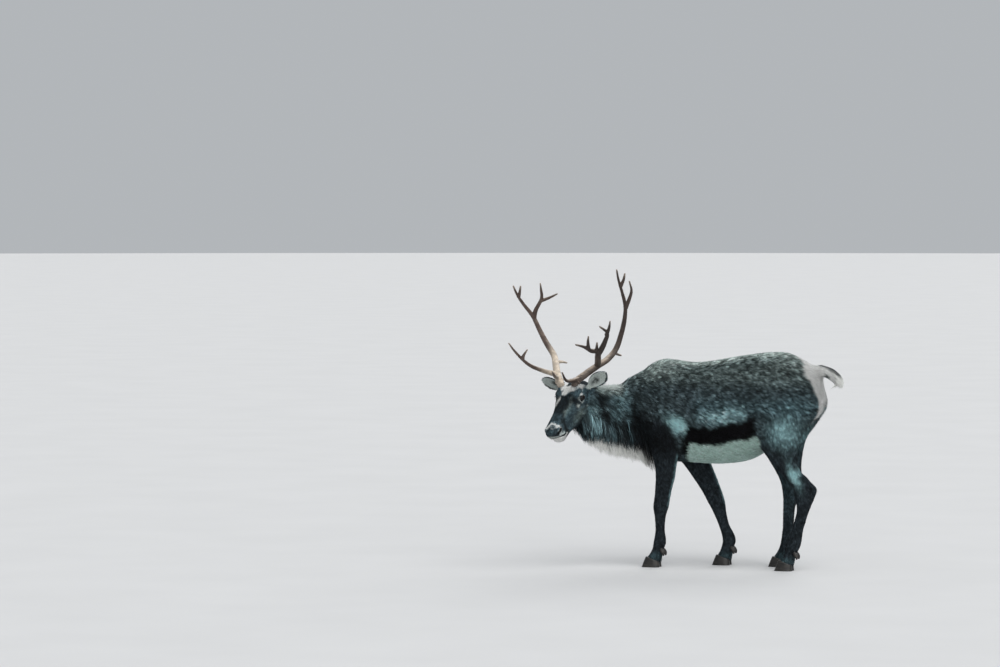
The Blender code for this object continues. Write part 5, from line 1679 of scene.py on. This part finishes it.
@dataclass
class LongHair:
    """Long locks that hang or lie in clumps: each is a bent four-sided taper."""

    name: str
    skin: Shape
    survey: Survey
    markings: Markings
    density: Array
    length: tuple
    width: float
    thickness: float
    droop: float
    lift: float
    clump: int
    gather: float
    seed: int
    stations: int = 6
    back: tuple = (0.0, 0.0, 0.0)
    wave: float = 0.05

    def build(self, material: bpy.types.Material) -> bpy.types.Object:
        """Run each lock along a quadratic curve and gather its tip toward its clump's tip.

        Args:
            material: The hair's material.

        Returns:
            The locks as one object.
        """
        draw = np.random.default_rng(self.seed)
        roots = spread_roots(self.skin, self.survey, self.markings, self.density, draw)
        count = len(roots.points)
        way = roots.lie(draw, np.full(count, 0.18))
        way = unit(way + np.asarray(self.back))
        out = roots.normals
        length = draw.uniform(*self.length, (count, 1))
        down = np.array((0.0, 0.0, -1.0))
        root = roots.points - out * 0.002
        bend = root + unit(way + out * self.lift) * length * 0.5
        tip = root + unit(way + down * self.droop + out * 0.25 * self.lift) * length
        heads = draw.choice(count, min(self.clump, count), replace=False)
        gap = np.linalg.norm(root[:, None] - root[heads][None], axis=2)
        near = heads[gap.argmin(1)]
        tip = tip * (1 - self.gather) + (tip[near] + 0.35 * (root - root[near])) * self.gather
        bend = bend * (1 - 0.3 * self.gather) + (bend[near] + root - root[near]) * (
            0.3 * self.gather)
        t = np.linspace(0.0, 0.86, self.stations)
        phase = draw.uniform(0, 2 * math.pi, (count, 1, 1))
        side0 = unit(np.cross(out, way))
        ts = t[None, :, None]
        line = (root[:, None] * (1 - ts) ** 2 + bend[:, None] * 2 * ts * (1 - ts)
                + tip[:, None] * ts ** 2)
        sway = np.sin(phase + ts * 2 * math.pi) * ts * self.wave
        line = line + side0[:, None] * sway * length[:, None]
        ahead = unit(np.gradient(line, axis=1))
        side = unit(side0[:, None] - ahead * dot(side0[:, None], ahead))
        face = np.cross(ahead, side)
        wide = self.width * (0.55 + 0.45 * np.sin(math.pi * np.clip(t * 1.15, 0, 1))) * (
            1 - 0.55 * t ** 2)
        thick = self.thickness * (1 - 0.6 * t)
        wide, thick = wide[None, :, None], thick[None, :, None]
        scale = draw.uniform(0.75, 1.25, (count, 1, 1))
        rings = np.stack([line + side * wide * scale, line - face * thick, line - side * wide
                          * scale, line + face * thick], axis=2)
        if self.turned(rings):
            rings = rings[:, :, ::-1]
        shape = many_tapers(rings, tip)
        tone = np.clip(draw.normal(1.0, 0.10, (count, 1, 1)), 0.6, 1.4)
        shade = np.concatenate([np.repeat(0.80 + 0.25 * t, 4), (1.1,)])[None, :, None]
        colour = roots.colour[:, None] * tone * shade
        local = np.stack([np.concatenate([np.tile((0.5, 0.0, -0.5, 0.0), self.stations), (0.0,)]),
                          np.concatenate([np.repeat(t - 0.5, 4), (0.5,)])], 1) * PATCH
        uv = unwrap(roots.survey)[:, None] + local[None]
        obj = add_mesh(self.name, shape, colour.reshape(-1, 3), uv.reshape(-1, 2))
        obj.data.materials.append(material)
        LOG.info("%s: %d locks", self.name, count)
        return obj

    @staticmethod
    def turned(rings: Array) -> bool:
        """True if the rings run the wrong way round, so that faces would look inward."""
        first = rings[0]
        across = first[0, 0] - first[0, 2]
        outward = first[0, 1] - first[0, 3]
        ahead = first[1].mean(0) - first[0].mean(0)
        return bool(np.cross(across, outward).dot(ahead) < 0)


# Antlers


@dataclass(frozen=True)
class Branch:
    """One beam or tine: its radius at the root and the tip, and its line in the head's frame."""

    root: float
    tip: float
    line: tuple


@dataclass
class Antler:
    """One antler: branches melted together, with a burr, pearls and grooves."""

    side: Side
    branches: tuple
    pale: tuple
    # Share of the dark stain on the bez, and strength of the painted shade below.
    guard: float
    voxel: float = 0.0022
    taper: float = 1.5
    burr: tuple = (0.0255, 0.0075)
    burr_run: float = 0.027
    brown: tuple = (0.095, 0.062, 0.048)
    beige: tuple = (0.520, 0.440, 0.350)
    dark: tuple = (0.022, 0.015, 0.012)

    def lines(self) -> list[tuple[Array, Array]]:
        """Points and radii of every branch; the radius falls by the share to the taper."""
        made = []
        for branch in self.branches:
            points = smooth_rows(HEAD.out(np.array(branch.line)), 10)
            if branch is self.branches[0]:
                points = points[6:]
            share = np.linspace(0, 1, len(points)) ** self.taper
            radii = branch.root + (branch.tip - branch.root) * share
            flare = 1 + 0.28 * np.exp(-np.linspace(0, len(points) / 6, len(points)))
            made.append((points, radii * (flare if branch.root < 0.018 else 1.0)))
        return made

    def shape(self) -> Shape:
        """The branches and the burr melted, then grooved along them and pearled near the burr."""
        lines = self.lines()
        solids = [branch_solid(points, radii) for points, radii in lines]
        beam = lines[0][0]
        run = np.append(0, np.cumsum(np.linalg.norm(np.diff(beam, axis=0), axis=1)))
        at = int(np.searchsorted(run, self.burr_run))
        way = unit(beam[at + 1] - beam[at])
        side = unit(np.cross(way, UP))
        axes = np.array((side, np.cross(way, side), way))
        radius, height = self.burr
        solids.append(ball_solid(beam[at], (radius, radius, height), axes, 28))
        shape = read_shape(melted(joined(solids), self.voxel, 4))
        points = np.vstack([line for line, _ in lines])
        ways = np.vstack([unit(np.gradient(line, axis=0)) for line, _ in lines])
        ahead = np.empty_like(shape.points)
        for start in range(0, len(shape.points), 20000):
            part = shape.points[start:start + 20000]
            gap = np.linalg.norm(part[:, None] - points[None], axis=2)
            ahead[start:start + 20000] = ways[gap.argmin(1)]
        flat = shape.points - ahead * (0.88 * dot(shape.points, ahead))
        lift = -0.0007 * np.abs(lattice_noise(flat, 0.0075, 21)) ** 0.5
        lift += 0.0005 * lattice_noise(shape.points, 0.03, 22)
        from_burr = np.linalg.norm(shape.points - beam[at], axis=1)
        pearls = rise(lattice_noise(shape.points, 0.0065, 23), 0.15, 0.7)
        lift += 0.0014 * pearls * rise(from_burr, 0.17, 0.03)
        lift += 0.0022 * bell(from_burr, radius, 0.006) * lattice_noise(shape.points, 0.008, 24)
        shape.points += shape.normals() * lift[:, None]
        return shape

    def colours(self, shape: Shape) -> Array:
        """Brown with a painted highlight on up-facing surfaces, painted shade on faces that look
        down and toward the animal's left, a dark stain on the bez and crowns, worn tips and a pale
        root.
        """
        lines = self.lines()
        normals = shape.normals()
        worn = np.zeros(len(shape.points))
        for points, _ in lines:
            gap = np.linalg.norm(shape.points - points[-1], axis=1)
            worn = np.maximum(worn, rise(gap, 0.038, 0.006))
        # Painted highlight: paler beige on up-facing surfaces.
        up = rise(normals[:, 2], 0.25, 0.85)
        streak = lattice_noise(shape.points, 0.035, 25)
        colour = mix(self.brown, self.beige, np.clip(0.65 * up + 0.18 * streak, 0, 1))
        colour = mix(colour, self.beige, 0.40 * worn)
        (a0, a1, reach), share = self.pale
        gap = np.linalg.norm(shape.points - HEAD.out((a0, a1, reach)), axis=1)
        colour = mix(colour, self.beige, share * rise(gap, 0.22, 0.10))
        ahead = HEAD.into(shape.points)
        guard = rise(ahead[:, 0], -0.16, -0.11) * rise(ahead[:, 2], 0.13, 0.18)
        guard = np.maximum(self.guard * guard, 0.45 * rise(ahead[:, 2], 0.26, 0.42))
        # Painted shade: dark on faces that look down and toward the animal's left, scaled by the
        # guard share.
        below = rise(0.6 * normals[:, 1] + 0.8 * normals[:, 2], 0.15, -0.45)
        guard = np.maximum(guard, 0.80 * self.guard * below)
        return mix(colour, self.dark, guard * (1 - 0.5 * worn) * (1 - 0.35 * up))

    def build(self, material: bpy.types.Material) -> bpy.types.Object:
        """Make the antler as one coloured object."""
        shape = self.shape()
        name = self.side.name.lower()
        obj = add_mesh(f"antler_{name}_grown", shape, self.colours(shape))
        obj.data.materials.append(material)
        return obj


LEFT_ANTLER = Antler(Side.LEFT, (
    Branch(0.0205, 0.0048, (
        (-0.032, 0.036, 0.040), (-0.046, 0.048, 0.084), (-0.100, 0.086, 0.096),
        (-0.180, 0.137, 0.100), (-0.250, 0.166, 0.092), (-0.310, 0.200, 0.116),
        (-0.345, 0.240, 0.185), (-0.370, 0.280, 0.270), (-0.378, 0.310, 0.355),
        (-0.370, 0.326, 0.450), (-0.350, 0.345, 0.555), (-0.320, 0.375, 0.640))),
    Branch(0.0190, 0.0050, (
        (-0.180, 0.138, 0.105), (-0.142, 0.180, 0.182), (-0.118, 0.206, 0.238),
        (-0.074, 0.198, 0.276), (-0.040, 0.187, 0.326), (0.000, 0.164, 0.372))),
    Branch(0.0180, 0.0050, (
        (-0.126, 0.200, 0.218), (-0.120, 0.236, 0.254), (-0.115, 0.280, 0.310),
        (-0.112, 0.312, 0.366), (-0.080, 0.300, 0.433))),
    Branch(0.0100, 0.0042, (
        (-0.114, 0.302, 0.350), (-0.110, 0.336, 0.400), (-0.110, 0.358, 0.446))),
    Branch(0.0100, 0.0042, (
        (-0.060, 0.194, 0.295), (-0.050, 0.214, 0.350), (-0.050, 0.231, 0.392))),
    Branch(0.0110, 0.0042, (
        (-0.112, 0.206, 0.240), (-0.098, 0.224, 0.278), (-0.090, 0.243, 0.320))),
    Branch(0.0100, 0.0045, (
        (-0.298, 0.192, 0.108), (-0.330, 0.183, 0.068), (-0.360, 0.187, 0.036))),
    Branch(0.0115, 0.0042, (
        (-0.072, 0.066, 0.090), (0.022, 0.044, 0.146), (0.060, 0.058, 0.232))),
    Branch(0.0115, 0.0042, (
        (-0.377, 0.308, 0.345), (-0.398, 0.336, 0.386), (-0.420, 0.356, 0.430),
        (-0.424, 0.361, 0.492))),
    Branch(0.0100, 0.0042, (
        (-0.358, 0.336, 0.500), (-0.374, 0.360, 0.534), (-0.386, 0.376, 0.570))),
), ((-0.20, 0.14, 0.10), 0.25), 0.90)
RIGHT_ANTLER = Antler(Side.RIGHT, (
    Branch(0.0215, 0.0048, (
        (-0.032, -0.036, 0.040), (-0.046, -0.050, 0.084), (-0.115, -0.092, 0.104),
        (-0.200, -0.136, 0.108), (-0.270, -0.176, 0.117), (-0.320, -0.228, 0.163),
        (-0.352, -0.262, 0.230), (-0.375, -0.288, 0.310), (-0.372, -0.318, 0.400),
        (-0.345, -0.316, 0.480), (-0.320, -0.303, 0.558))),
    Branch(0.0140, 0.0045, (
        (-0.110, -0.090, 0.098), (-0.062, -0.108, 0.146), (-0.010, -0.119, 0.203),
        (0.040, -0.131, 0.264), (0.078, -0.140, 0.330), (0.108, -0.153, 0.415),
        (0.120, -0.164, 0.480))),
    Branch(0.0100, 0.0042, (
        (0.084, -0.141, 0.345), (0.088, -0.118, 0.376), (0.078, -0.090, 0.404))),
    Branch(0.0100, 0.0045, (
        (-0.205, -0.138, 0.112), (-0.250, -0.128, 0.082), (-0.292, -0.126, 0.044))),
    Branch(0.0115, 0.0042, (
        (-0.078, -0.070, 0.093), (0.002, -0.036, 0.166), (0.052, -0.007, 0.234))),
    Branch(0.0130, 0.0042, (
        (-0.374, -0.286, 0.300), (-0.386, -0.262, 0.345), (-0.404, -0.212, 0.408),
        (-0.401, -0.192, 0.470), (-0.390, -0.174, 0.522))),
    Branch(0.0100, 0.0042, (
        (-0.402, -0.220, 0.396), (-0.424, -0.176, 0.398), (-0.430, -0.116, 0.420))),
    Branch(0.0095, 0.0042, (
        (-0.348, -0.317, 0.460), (-0.358, -0.302, 0.490), (-0.366, -0.287, 0.526))),
), ((-0.14, -0.10, 0.10), 1.0), 0.35)


# Eyes and hooves


@dataclass
class EyeBall:
    """The ball of an eye with its iris and long level pupil."""

    eye: Eye
    iris: float = 0.0125
    cornea: float = 0.0012

    def build(self, material: bpy.types.Material) -> bpy.types.Object:
        """A ball whose front bulges by a bell; the colours go by the distance from its axis.

        Args:
            material: The wet material.

        Returns:
            The eyeball.
        """
        eye = self.eye
        lat = np.concatenate([np.linspace(0.02, 0.9, 34), np.linspace(0.95, 3.1, 22)])
        lon = np.arange(64) * 2 * math.pi / 64
        s = np.outer(np.sin(lat), np.cos(lon)) * eye.radius
        t = np.outer(np.sin(lat), np.sin(lon)) * eye.radius
        g = np.outer(np.cos(lat), np.ones(64)) * eye.radius
        r = np.hypot(s, t)
        g = g + self.cornea * rise(r, 0.0145, 0.004) * (g > 0)
        rings = eye.place() + np.stack([g, s, t], -1) @ eye.axes()
        shape = tube_solid(rings)
        g, s, t = eye.into(shape.points).T
        r = np.hypot(s, t)
        fibre = lattice_noise(np.stack([np.arctan2(t, s) * 9, r * 60, 0 * r], 1), 1.0, 31)
        colour = mix((0.020, 0.011, 0.006), (0.008, 0.005, 0.004), 0.5 + 0.5 * fibre)
        colour = mix(colour, (0.002, 0.002, 0.003), rise((s / 0.0082) ** 2 + (t / 0.0048) ** 2,
                                                        1.25, 0.85))
        colour = mix(colour, (0.010, 0.007, 0.006), rise(r, self.iris - 0.0014, self.iris))
        colour = mix(colour, (0.10, 0.08, 0.07), rise(r, self.iris + 0.002, self.iris + 0.004))
        obj = add_mesh(f"eyeball_{eye.side.name.lower()}", shape, colour)
        obj.data.materials.append(material)
        return obj


@dataclass
class LidRim:
    """The bare dark edge of the lids, a tube round the opening, with lashes on the upper lid."""

    eye: Eye
    radius: float = 0.0016
    lashes: int = 30

    def outline(self, count: int) -> tuple[Array, Array]:
        """The opening's edge: ahead = L cos w, up = +-H (1 - cos^2 w), in the eye's frame."""
        w = np.arange(count) * 2 * math.pi / count
        ahead = self.eye.half_length * np.cos(w)
        up = np.sign(np.sin(w)) * self.eye.half_opening * (1 - np.cos(w) ** 2)
        return ahead, up

    def build(self, material: bpy.types.Material) -> bpy.types.Object:
        """A closed ring that rides on the ball, and a row of fine lashes.

        Args:
            material: The wet dark skin.

        Returns:
            The rim and its lashes.
        """
        eye = self.eye
        s, t = self.outline(96)
        deep = np.sqrt(np.clip((eye.radius + 0.0016) ** 2 - s ** 2 - t ** 2, 0, None))
        line = eye.place() + np.stack([deep, s, t], 1) @ eye.axes()
        way = unit(np.roll(line, -1, 0) - np.roll(line, 1, 0))
        out = unit(line - eye.place())
        side = np.cross(way, out)
        w = np.arange(10) * 2 * math.pi / 10
        rings = (line[:, None] + out[:, None] * (np.cos(w) * self.radius)[None, :, None]
                 + side[:, None] * (np.sin(w) * self.radius * 1.15)[None, :, None])
        n, m = rings.shape[:2]
        i = np.arange(n)[:, None]
        j = np.arange(m)[None]
        quads = np.stack([i * m + j, i * m + (j + 1) % m, (i + 1) % n * m + (j + 1) % m,
                          (i + 1) % n * m + j], -1).reshape(-1, 4)
        ring = Shape(rings.reshape(-1, 3), quads).outward()
        share = np.linspace(0.12, 0.88, self.lashes) * math.pi
        ls = eye.half_length * np.cos(share)
        lt = eye.half_opening * (1 - np.cos(share) ** 2)
        lg = np.sqrt(np.clip((eye.radius + 0.0028) ** 2 - ls ** 2 - lt ** 2, 0, None))
        root = eye.place() + np.stack([lg, ls, lt], 1) @ eye.axes()
        gaze, ahead, up = eye.axes()
        draw = np.random.default_rng(57)
        way = unit(gaze + up * 0.35 + ahead * (ls / eye.half_length)[:, None] * 0.6
                   + draw.normal(0, 0.06, (self.lashes, 3)))
        length = draw.uniform(0.0085, 0.0120, (self.lashes, 1))
        bend = root + way * length * 0.5
        tip = root + (unit(way - up * 0.25)) * length
        across = unit(np.cross(way, up))
        rise_way = np.cross(across, way)
        thin = 0.00032
        rows = [np.stack([c + across * thin * k, c - rise_way * thin * k, c - across * thin * k],
                         axis=1)
                for c, k in ((root, 1.0), (bend, 0.7))]
        hairs = many_tapers(np.stack(rows, axis=1), tip)
        shape = joined([ring, hairs])
        colour = np.tile((0.007, 0.006, 0.006), (len(shape.points), 1))
        obj = add_mesh(f"lid_rim_{eye.side.name.lower()}", shape, colour)
        obj.data.materials.append(material)
        return obj


@dataclass
class Foot:
    """The two claws and two dewclaws of one foot."""

    leg: Leg
    name: str
    toe: float = 0.060
    heel: float = 0.040
    half_width: float = 0.0215
    apart: float = 0.0245
    splay: float = 7.0
    top_height: float = 0.090
    coronet: float = 0.048
    slope: float = 20.0
    dewclaw: tuple = ((-0.012, 0.104, 0.0075), (-0.004, 0.094, 0.0105), (0.003, 0.082, 0.0100),
                      (0.006, 0.071, 0.0068), (0.005, 0.064, 0.0030))
    dewclaw_apart: float = 0.020

    def claw(self, side: int) -> Shape:
        """Rings from the sole up, each level with the coronet's slope by its share of height.

        The plan of a ring is an oval with a longer toe, squared toward its inner side, and it
        shrinks toward the top; fine level waves give the growth rings.
        """
        z, front, back, middle, _ = self.leg.rows[-2]
        centre = np.array((0.5 * (front + back), self.leg.sign * middle, self.coronet))
        splay = math.radians(self.splay) * side
        ahead = np.array((-math.cos(splay), math.sin(splay), 0.0))
        across = np.array((math.sin(splay), math.cos(splay), 0.0))
        base = centre * (1, 1, 0) + np.array((0.0, side * self.apart, 0.0))
        t = np.arange(40) * 2 * math.pi / 40
        share = np.array((0.0, 0.0, 0.02, 0.06, 0.12, 0.2, 0.3, 0.4, 0.5, 0.6, 0.7, 0.8, 0.9, 0.96,
                          1.0, 1.0))
        inset = np.array((0.55, 0.93) + (1.0,) * 11 + (0.99, 0.93, 0.5))
        height = share * 0.052 / self.top_height
        toe = self.toe * (1 - 0.70 * height) * (1 + 0.006 * np.sin(share * 42))
        heel = self.heel * (1 - 0.15 * height)
        width = self.half_width * (1 - 0.25 * height) * (1 + 0.010 * np.sin(share * 42 + 1))
        cos, sin = np.cos(t)[None], np.sin(t)[None]
        reach = np.where(cos > 0, toe[:, None], heel[:, None]) * cos * inset[:, None]
        inner = np.where(sin * side < 0, 0.93, 1.0)
        wide = width[:, None] * np.sign(sin) * np.abs(sin) ** 0.85 * inset[:, None] * inner
        plan = base + ahead * reach[..., None] + across * wide[..., None]
        slope = math.tan(math.radians(self.slope))
        top = self.coronet - (plan[..., 0] - centre[0]) * slope - 0.0006
        rings = plan.copy()
        rings[..., 2] = np.maximum(top, 0.012) * share[:, None]
        rings[0, :, 2] = 0.0012
        return tube_solid(rings)

    def dew(self, side: int) -> Shape:
        """A blunt tapering nail behind the fetlock: rows of x behind the leg, height and radius."""
        _, _, back, middle, _ = self.leg.rows[-3]
        x, z, radius = smooth_rows(self.dewclaw, 6).T
        y = self.leg.sign * middle + side * (self.dewclaw_apart + 0.12 * (0.104 - z))
        return branch_solid(np.stack([back + x, y, z], 1), radius, 20)

    def build(self, material: bpy.types.Material) -> bpy.types.Object:
        """Join claws and dewclaws into one piece."""
        shape = joined([self.claw(-1), self.claw(1), self.dew(-1), self.dew(1)])
        obj = add_mesh(f"hooves_{self.name}", shape)
        obj.data.materials.append(material)
        return obj


# The studio


@dataclass
class Studio:
    """Floor, light and camera."""

    azimuth: float = 18.0
    elevation: float = 2.0
    distance: float = 22.0
    scale: float = 180.0
    aim: tuple = (-1.278, 1.297)

    def directions(self) -> tuple[Array, Array, Array]:
        """The camera's right, back and up."""
        a, e = math.radians(self.azimuth), math.radians(self.elevation)
        right = np.array((math.cos(a), math.sin(a), 0.0))
        back = np.array((math.sin(a) * math.cos(e), -math.cos(a) * math.cos(e), math.sin(e)))
        return right, back, np.cross(back, right)

    def camera(self, shift: Array) -> None:
        """A long lens at the photo's angle: so many pixels of 1000 for each metre at its range."""
        right, back, up = self.directions()
        data = bpy.data.cameras.new("camera")
        data.sensor_width = 36.0
        data.lens = self.scale * self.distance / 1000.0 * 36.0
        data.clip_end = 500.0
        obj = bpy.data.objects.new("camera", data)
        obj.location = Vector(right * self.aim[0] + up * self.aim[1] + back * self.distance
                              + shift)
        obj.rotation_mode = "QUATERNION"
        obj.rotation_quaternion = Vector(-back).to_track_quat("-Z", "Y")
        bpy.context.scene.collection.objects.link(obj)
        bpy.context.scene.camera = obj

    def sun(self, name: str, toward: tuple, strength: float, spread: float) -> None:
        """A very soft distant light that shines along a direction."""
        data = bpy.data.lights.new(name, "SUN")
        data.energy = strength
        data.angle = math.radians(spread)
        obj = bpy.data.objects.new(name, data)
        obj.rotation_mode = "QUATERNION"
        obj.rotation_quaternion = Vector(toward).to_track_quat("-Z", "Y")
        bpy.context.scene.collection.objects.link(obj)

    def build(self, shift: Array) -> None:
        """Set up world, lights, floor and camera."""
        world = bpy.data.worlds.new("studio")
        world.use_nodes = True
        background = world.node_tree.nodes["Background"]
        background.inputs["Color"].default_value = (0.86, 0.90, 0.94, 1.0)
        background.inputs["Strength"].default_value = 0.52
        bpy.context.scene.world = world
        self.sun("top_light", (-0.40, 0.30, -1.0), 1.45, 45.0)
        self.sun("front_light", (-0.60, 0.85, -0.40), 1.10, 55.0)
        self.sun("back_light", (-0.1, -0.8, -0.60), 0.85, 40.0)
        bpy.context.scene.view_settings.view_transform = "Standard"
        t = np.arange(96) * 2 * math.pi / 96
        disc = np.stack([np.cos(t), np.sin(t), 0 * t], 1) * 120.0
        centre = np.array(((0.0, 0.0, 0.0),))
        tris = np.stack([np.arange(96), (np.arange(96) + 1) % 96, np.full(96, 96)], 1)
        floor = add_mesh("studio_floor", Shape(np.vstack([disc, centre]), tris=tris))
        floor.data.materials.append(FloorFinish().material())
        self.camera(shift)


# Putting it together


def body_shift() -> Array:
    """The step from the animal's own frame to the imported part's, from the left eye's box."""
    low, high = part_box("eye_left")
    return np.array((low + high) / 2) - EYES[0].place()


def dress(obj: bpy.types.Object, shift: Array, nodes: tuple = ()) -> None:
    """Move a piece into the part's frame, let it ride, and let it stand for its solids.

    Args:
        obj: The piece.
        shift: The step into the part's frame.
        nodes: The solids that it stands for.
    """
    points = np.empty(len(obj.data.vertices) * 3, np.float32)
    obj.data.vertices.foreach_get("co", points)
    points = points.reshape(-1, 3) + shift.astype(np.float32)
    obj.data.vertices.foreach_set("co", points.ravel())
    obj.data.update()
    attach(obj, "root")
    if nodes:
        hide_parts(*nodes)


def mane(skin: Shape, survey: Survey, markings: Markings) -> LongHair:
    """The hair that hangs from throat to chest: white from beneath, dark where it starts higher."""
    normals = skin.normals()
    a, _, c = HEAD.into(skin.points).T
    x = skin.points[:, 0]
    throat = rise(survey.shares[:, 2], 0.3, 0.6) * rise(a, -0.01, -0.04) * rise(c, -0.12, -0.14)
    place = rise(survey.shares[:, 1] + 0.7 * survey.shares[:, 0], 0.35, 0.6) * rise(x, -0.44, -0.50)
    place = np.clip(place + throat, 0, 1) * rise(normals[:, 2], -0.12, -0.45)
    place = place * rise(a, 0.03, 0.0)
    for eye in EYES:
        place = place * (np.linalg.norm(skin.points - eye.place(), axis=1) > 0.07)
    return LongHair("mane", skin, survey, markings, place * 30000.0, (0.060, 0.115), 0.0022,
                    0.0009, 1.0, 0.30, 240, 0.40, 71, back=(0.15, 0.05, -0.95))


def tail_hair(skin: Shape, survey: Survey, markings: Markings) -> LongHair:
    """The bushy hair of the tail."""
    place = rise(survey.shares[:, 3], 0.45, 0.8) * rise(skin.points[:, 0], 0.49, 0.52)
    return LongHair("tail_hair", skin, survey, markings, place * 205000.0, (0.034, 0.064), 0.0015,
                    0.0008, 0.10, 0.65, 60, 0.25, 72)


def main() -> None:
    """Build the model piece by piece."""
    logging.basicConfig(level=logging.INFO, format="%(name)s: %(message)s")
    shift = body_shift()
    body = Body()
    markings = Markings(body)
    skin, survey = Skin(body).shaped()
    LOG.info("skin: %d triangles", len(skin.tris))
    colour = markings.paint(skin.points, skin.normals(), survey)
    skin_obj = add_mesh("skin", skin, colour * 0.75)
    skin_obj.data.materials.append(HairFinish("short coat", 700.0, bump_depth=0.0010).material())
    dress(skin_obj, shift,
          ("torso", "neck", "head", "tail", "foreleg_left", "foreleg_right", "hindleg_left",
           "hindleg_right", "ear_left", "ear_right"))
    fur = HairFinish("guard hair").material()
    for piece in Coat(skin, survey, markings).build(fur):
        dress(piece, shift)
    long_fur = HairFinish("long hair", 600.0, 0.30).material()
    for hair in (mane(skin, survey, markings), tail_hair(skin, survey, markings)):
        dress(hair.build(long_fur), shift)
    bone = AntlerFinish().material()
    for antler in (LEFT_ANTLER, RIGHT_ANTLER):
        name = f"antler_{antler.side.name.lower()}"
        dress(antler.build(bone), shift,
              tuple(f"{name}_{part}" for part in ("beam", "bez", "crown", "prong")))
    LOG.info("antlers built")
    wet = WetFinish("wet eye").material()
    rim = WetFinish("bare lid", 0.35).material()
    for eye in EYES:
        side = eye.side.name.lower()
        dress(EyeBall(eye).build(wet), shift, (f"eye_{side}",))
        dress(LidRim(eye).build(rim), shift)
    horn = HoofFinish().material()
    for leg in LEGS:
        name = leg.region.name.lower().replace("fore", "foreleg").replace("hind", "hindleg")
        nodes = tuple(f"{kind}_{name}_{place}" for kind in ("hoof", "dewclaw")
                      for place in ("inner", "outer"))
        dress(Foot(leg, name).build(horn), shift, nodes)
    LOG.info("eyes and hooves built")
    Studio().build(shift)


if __name__ == "__main__":
    main()
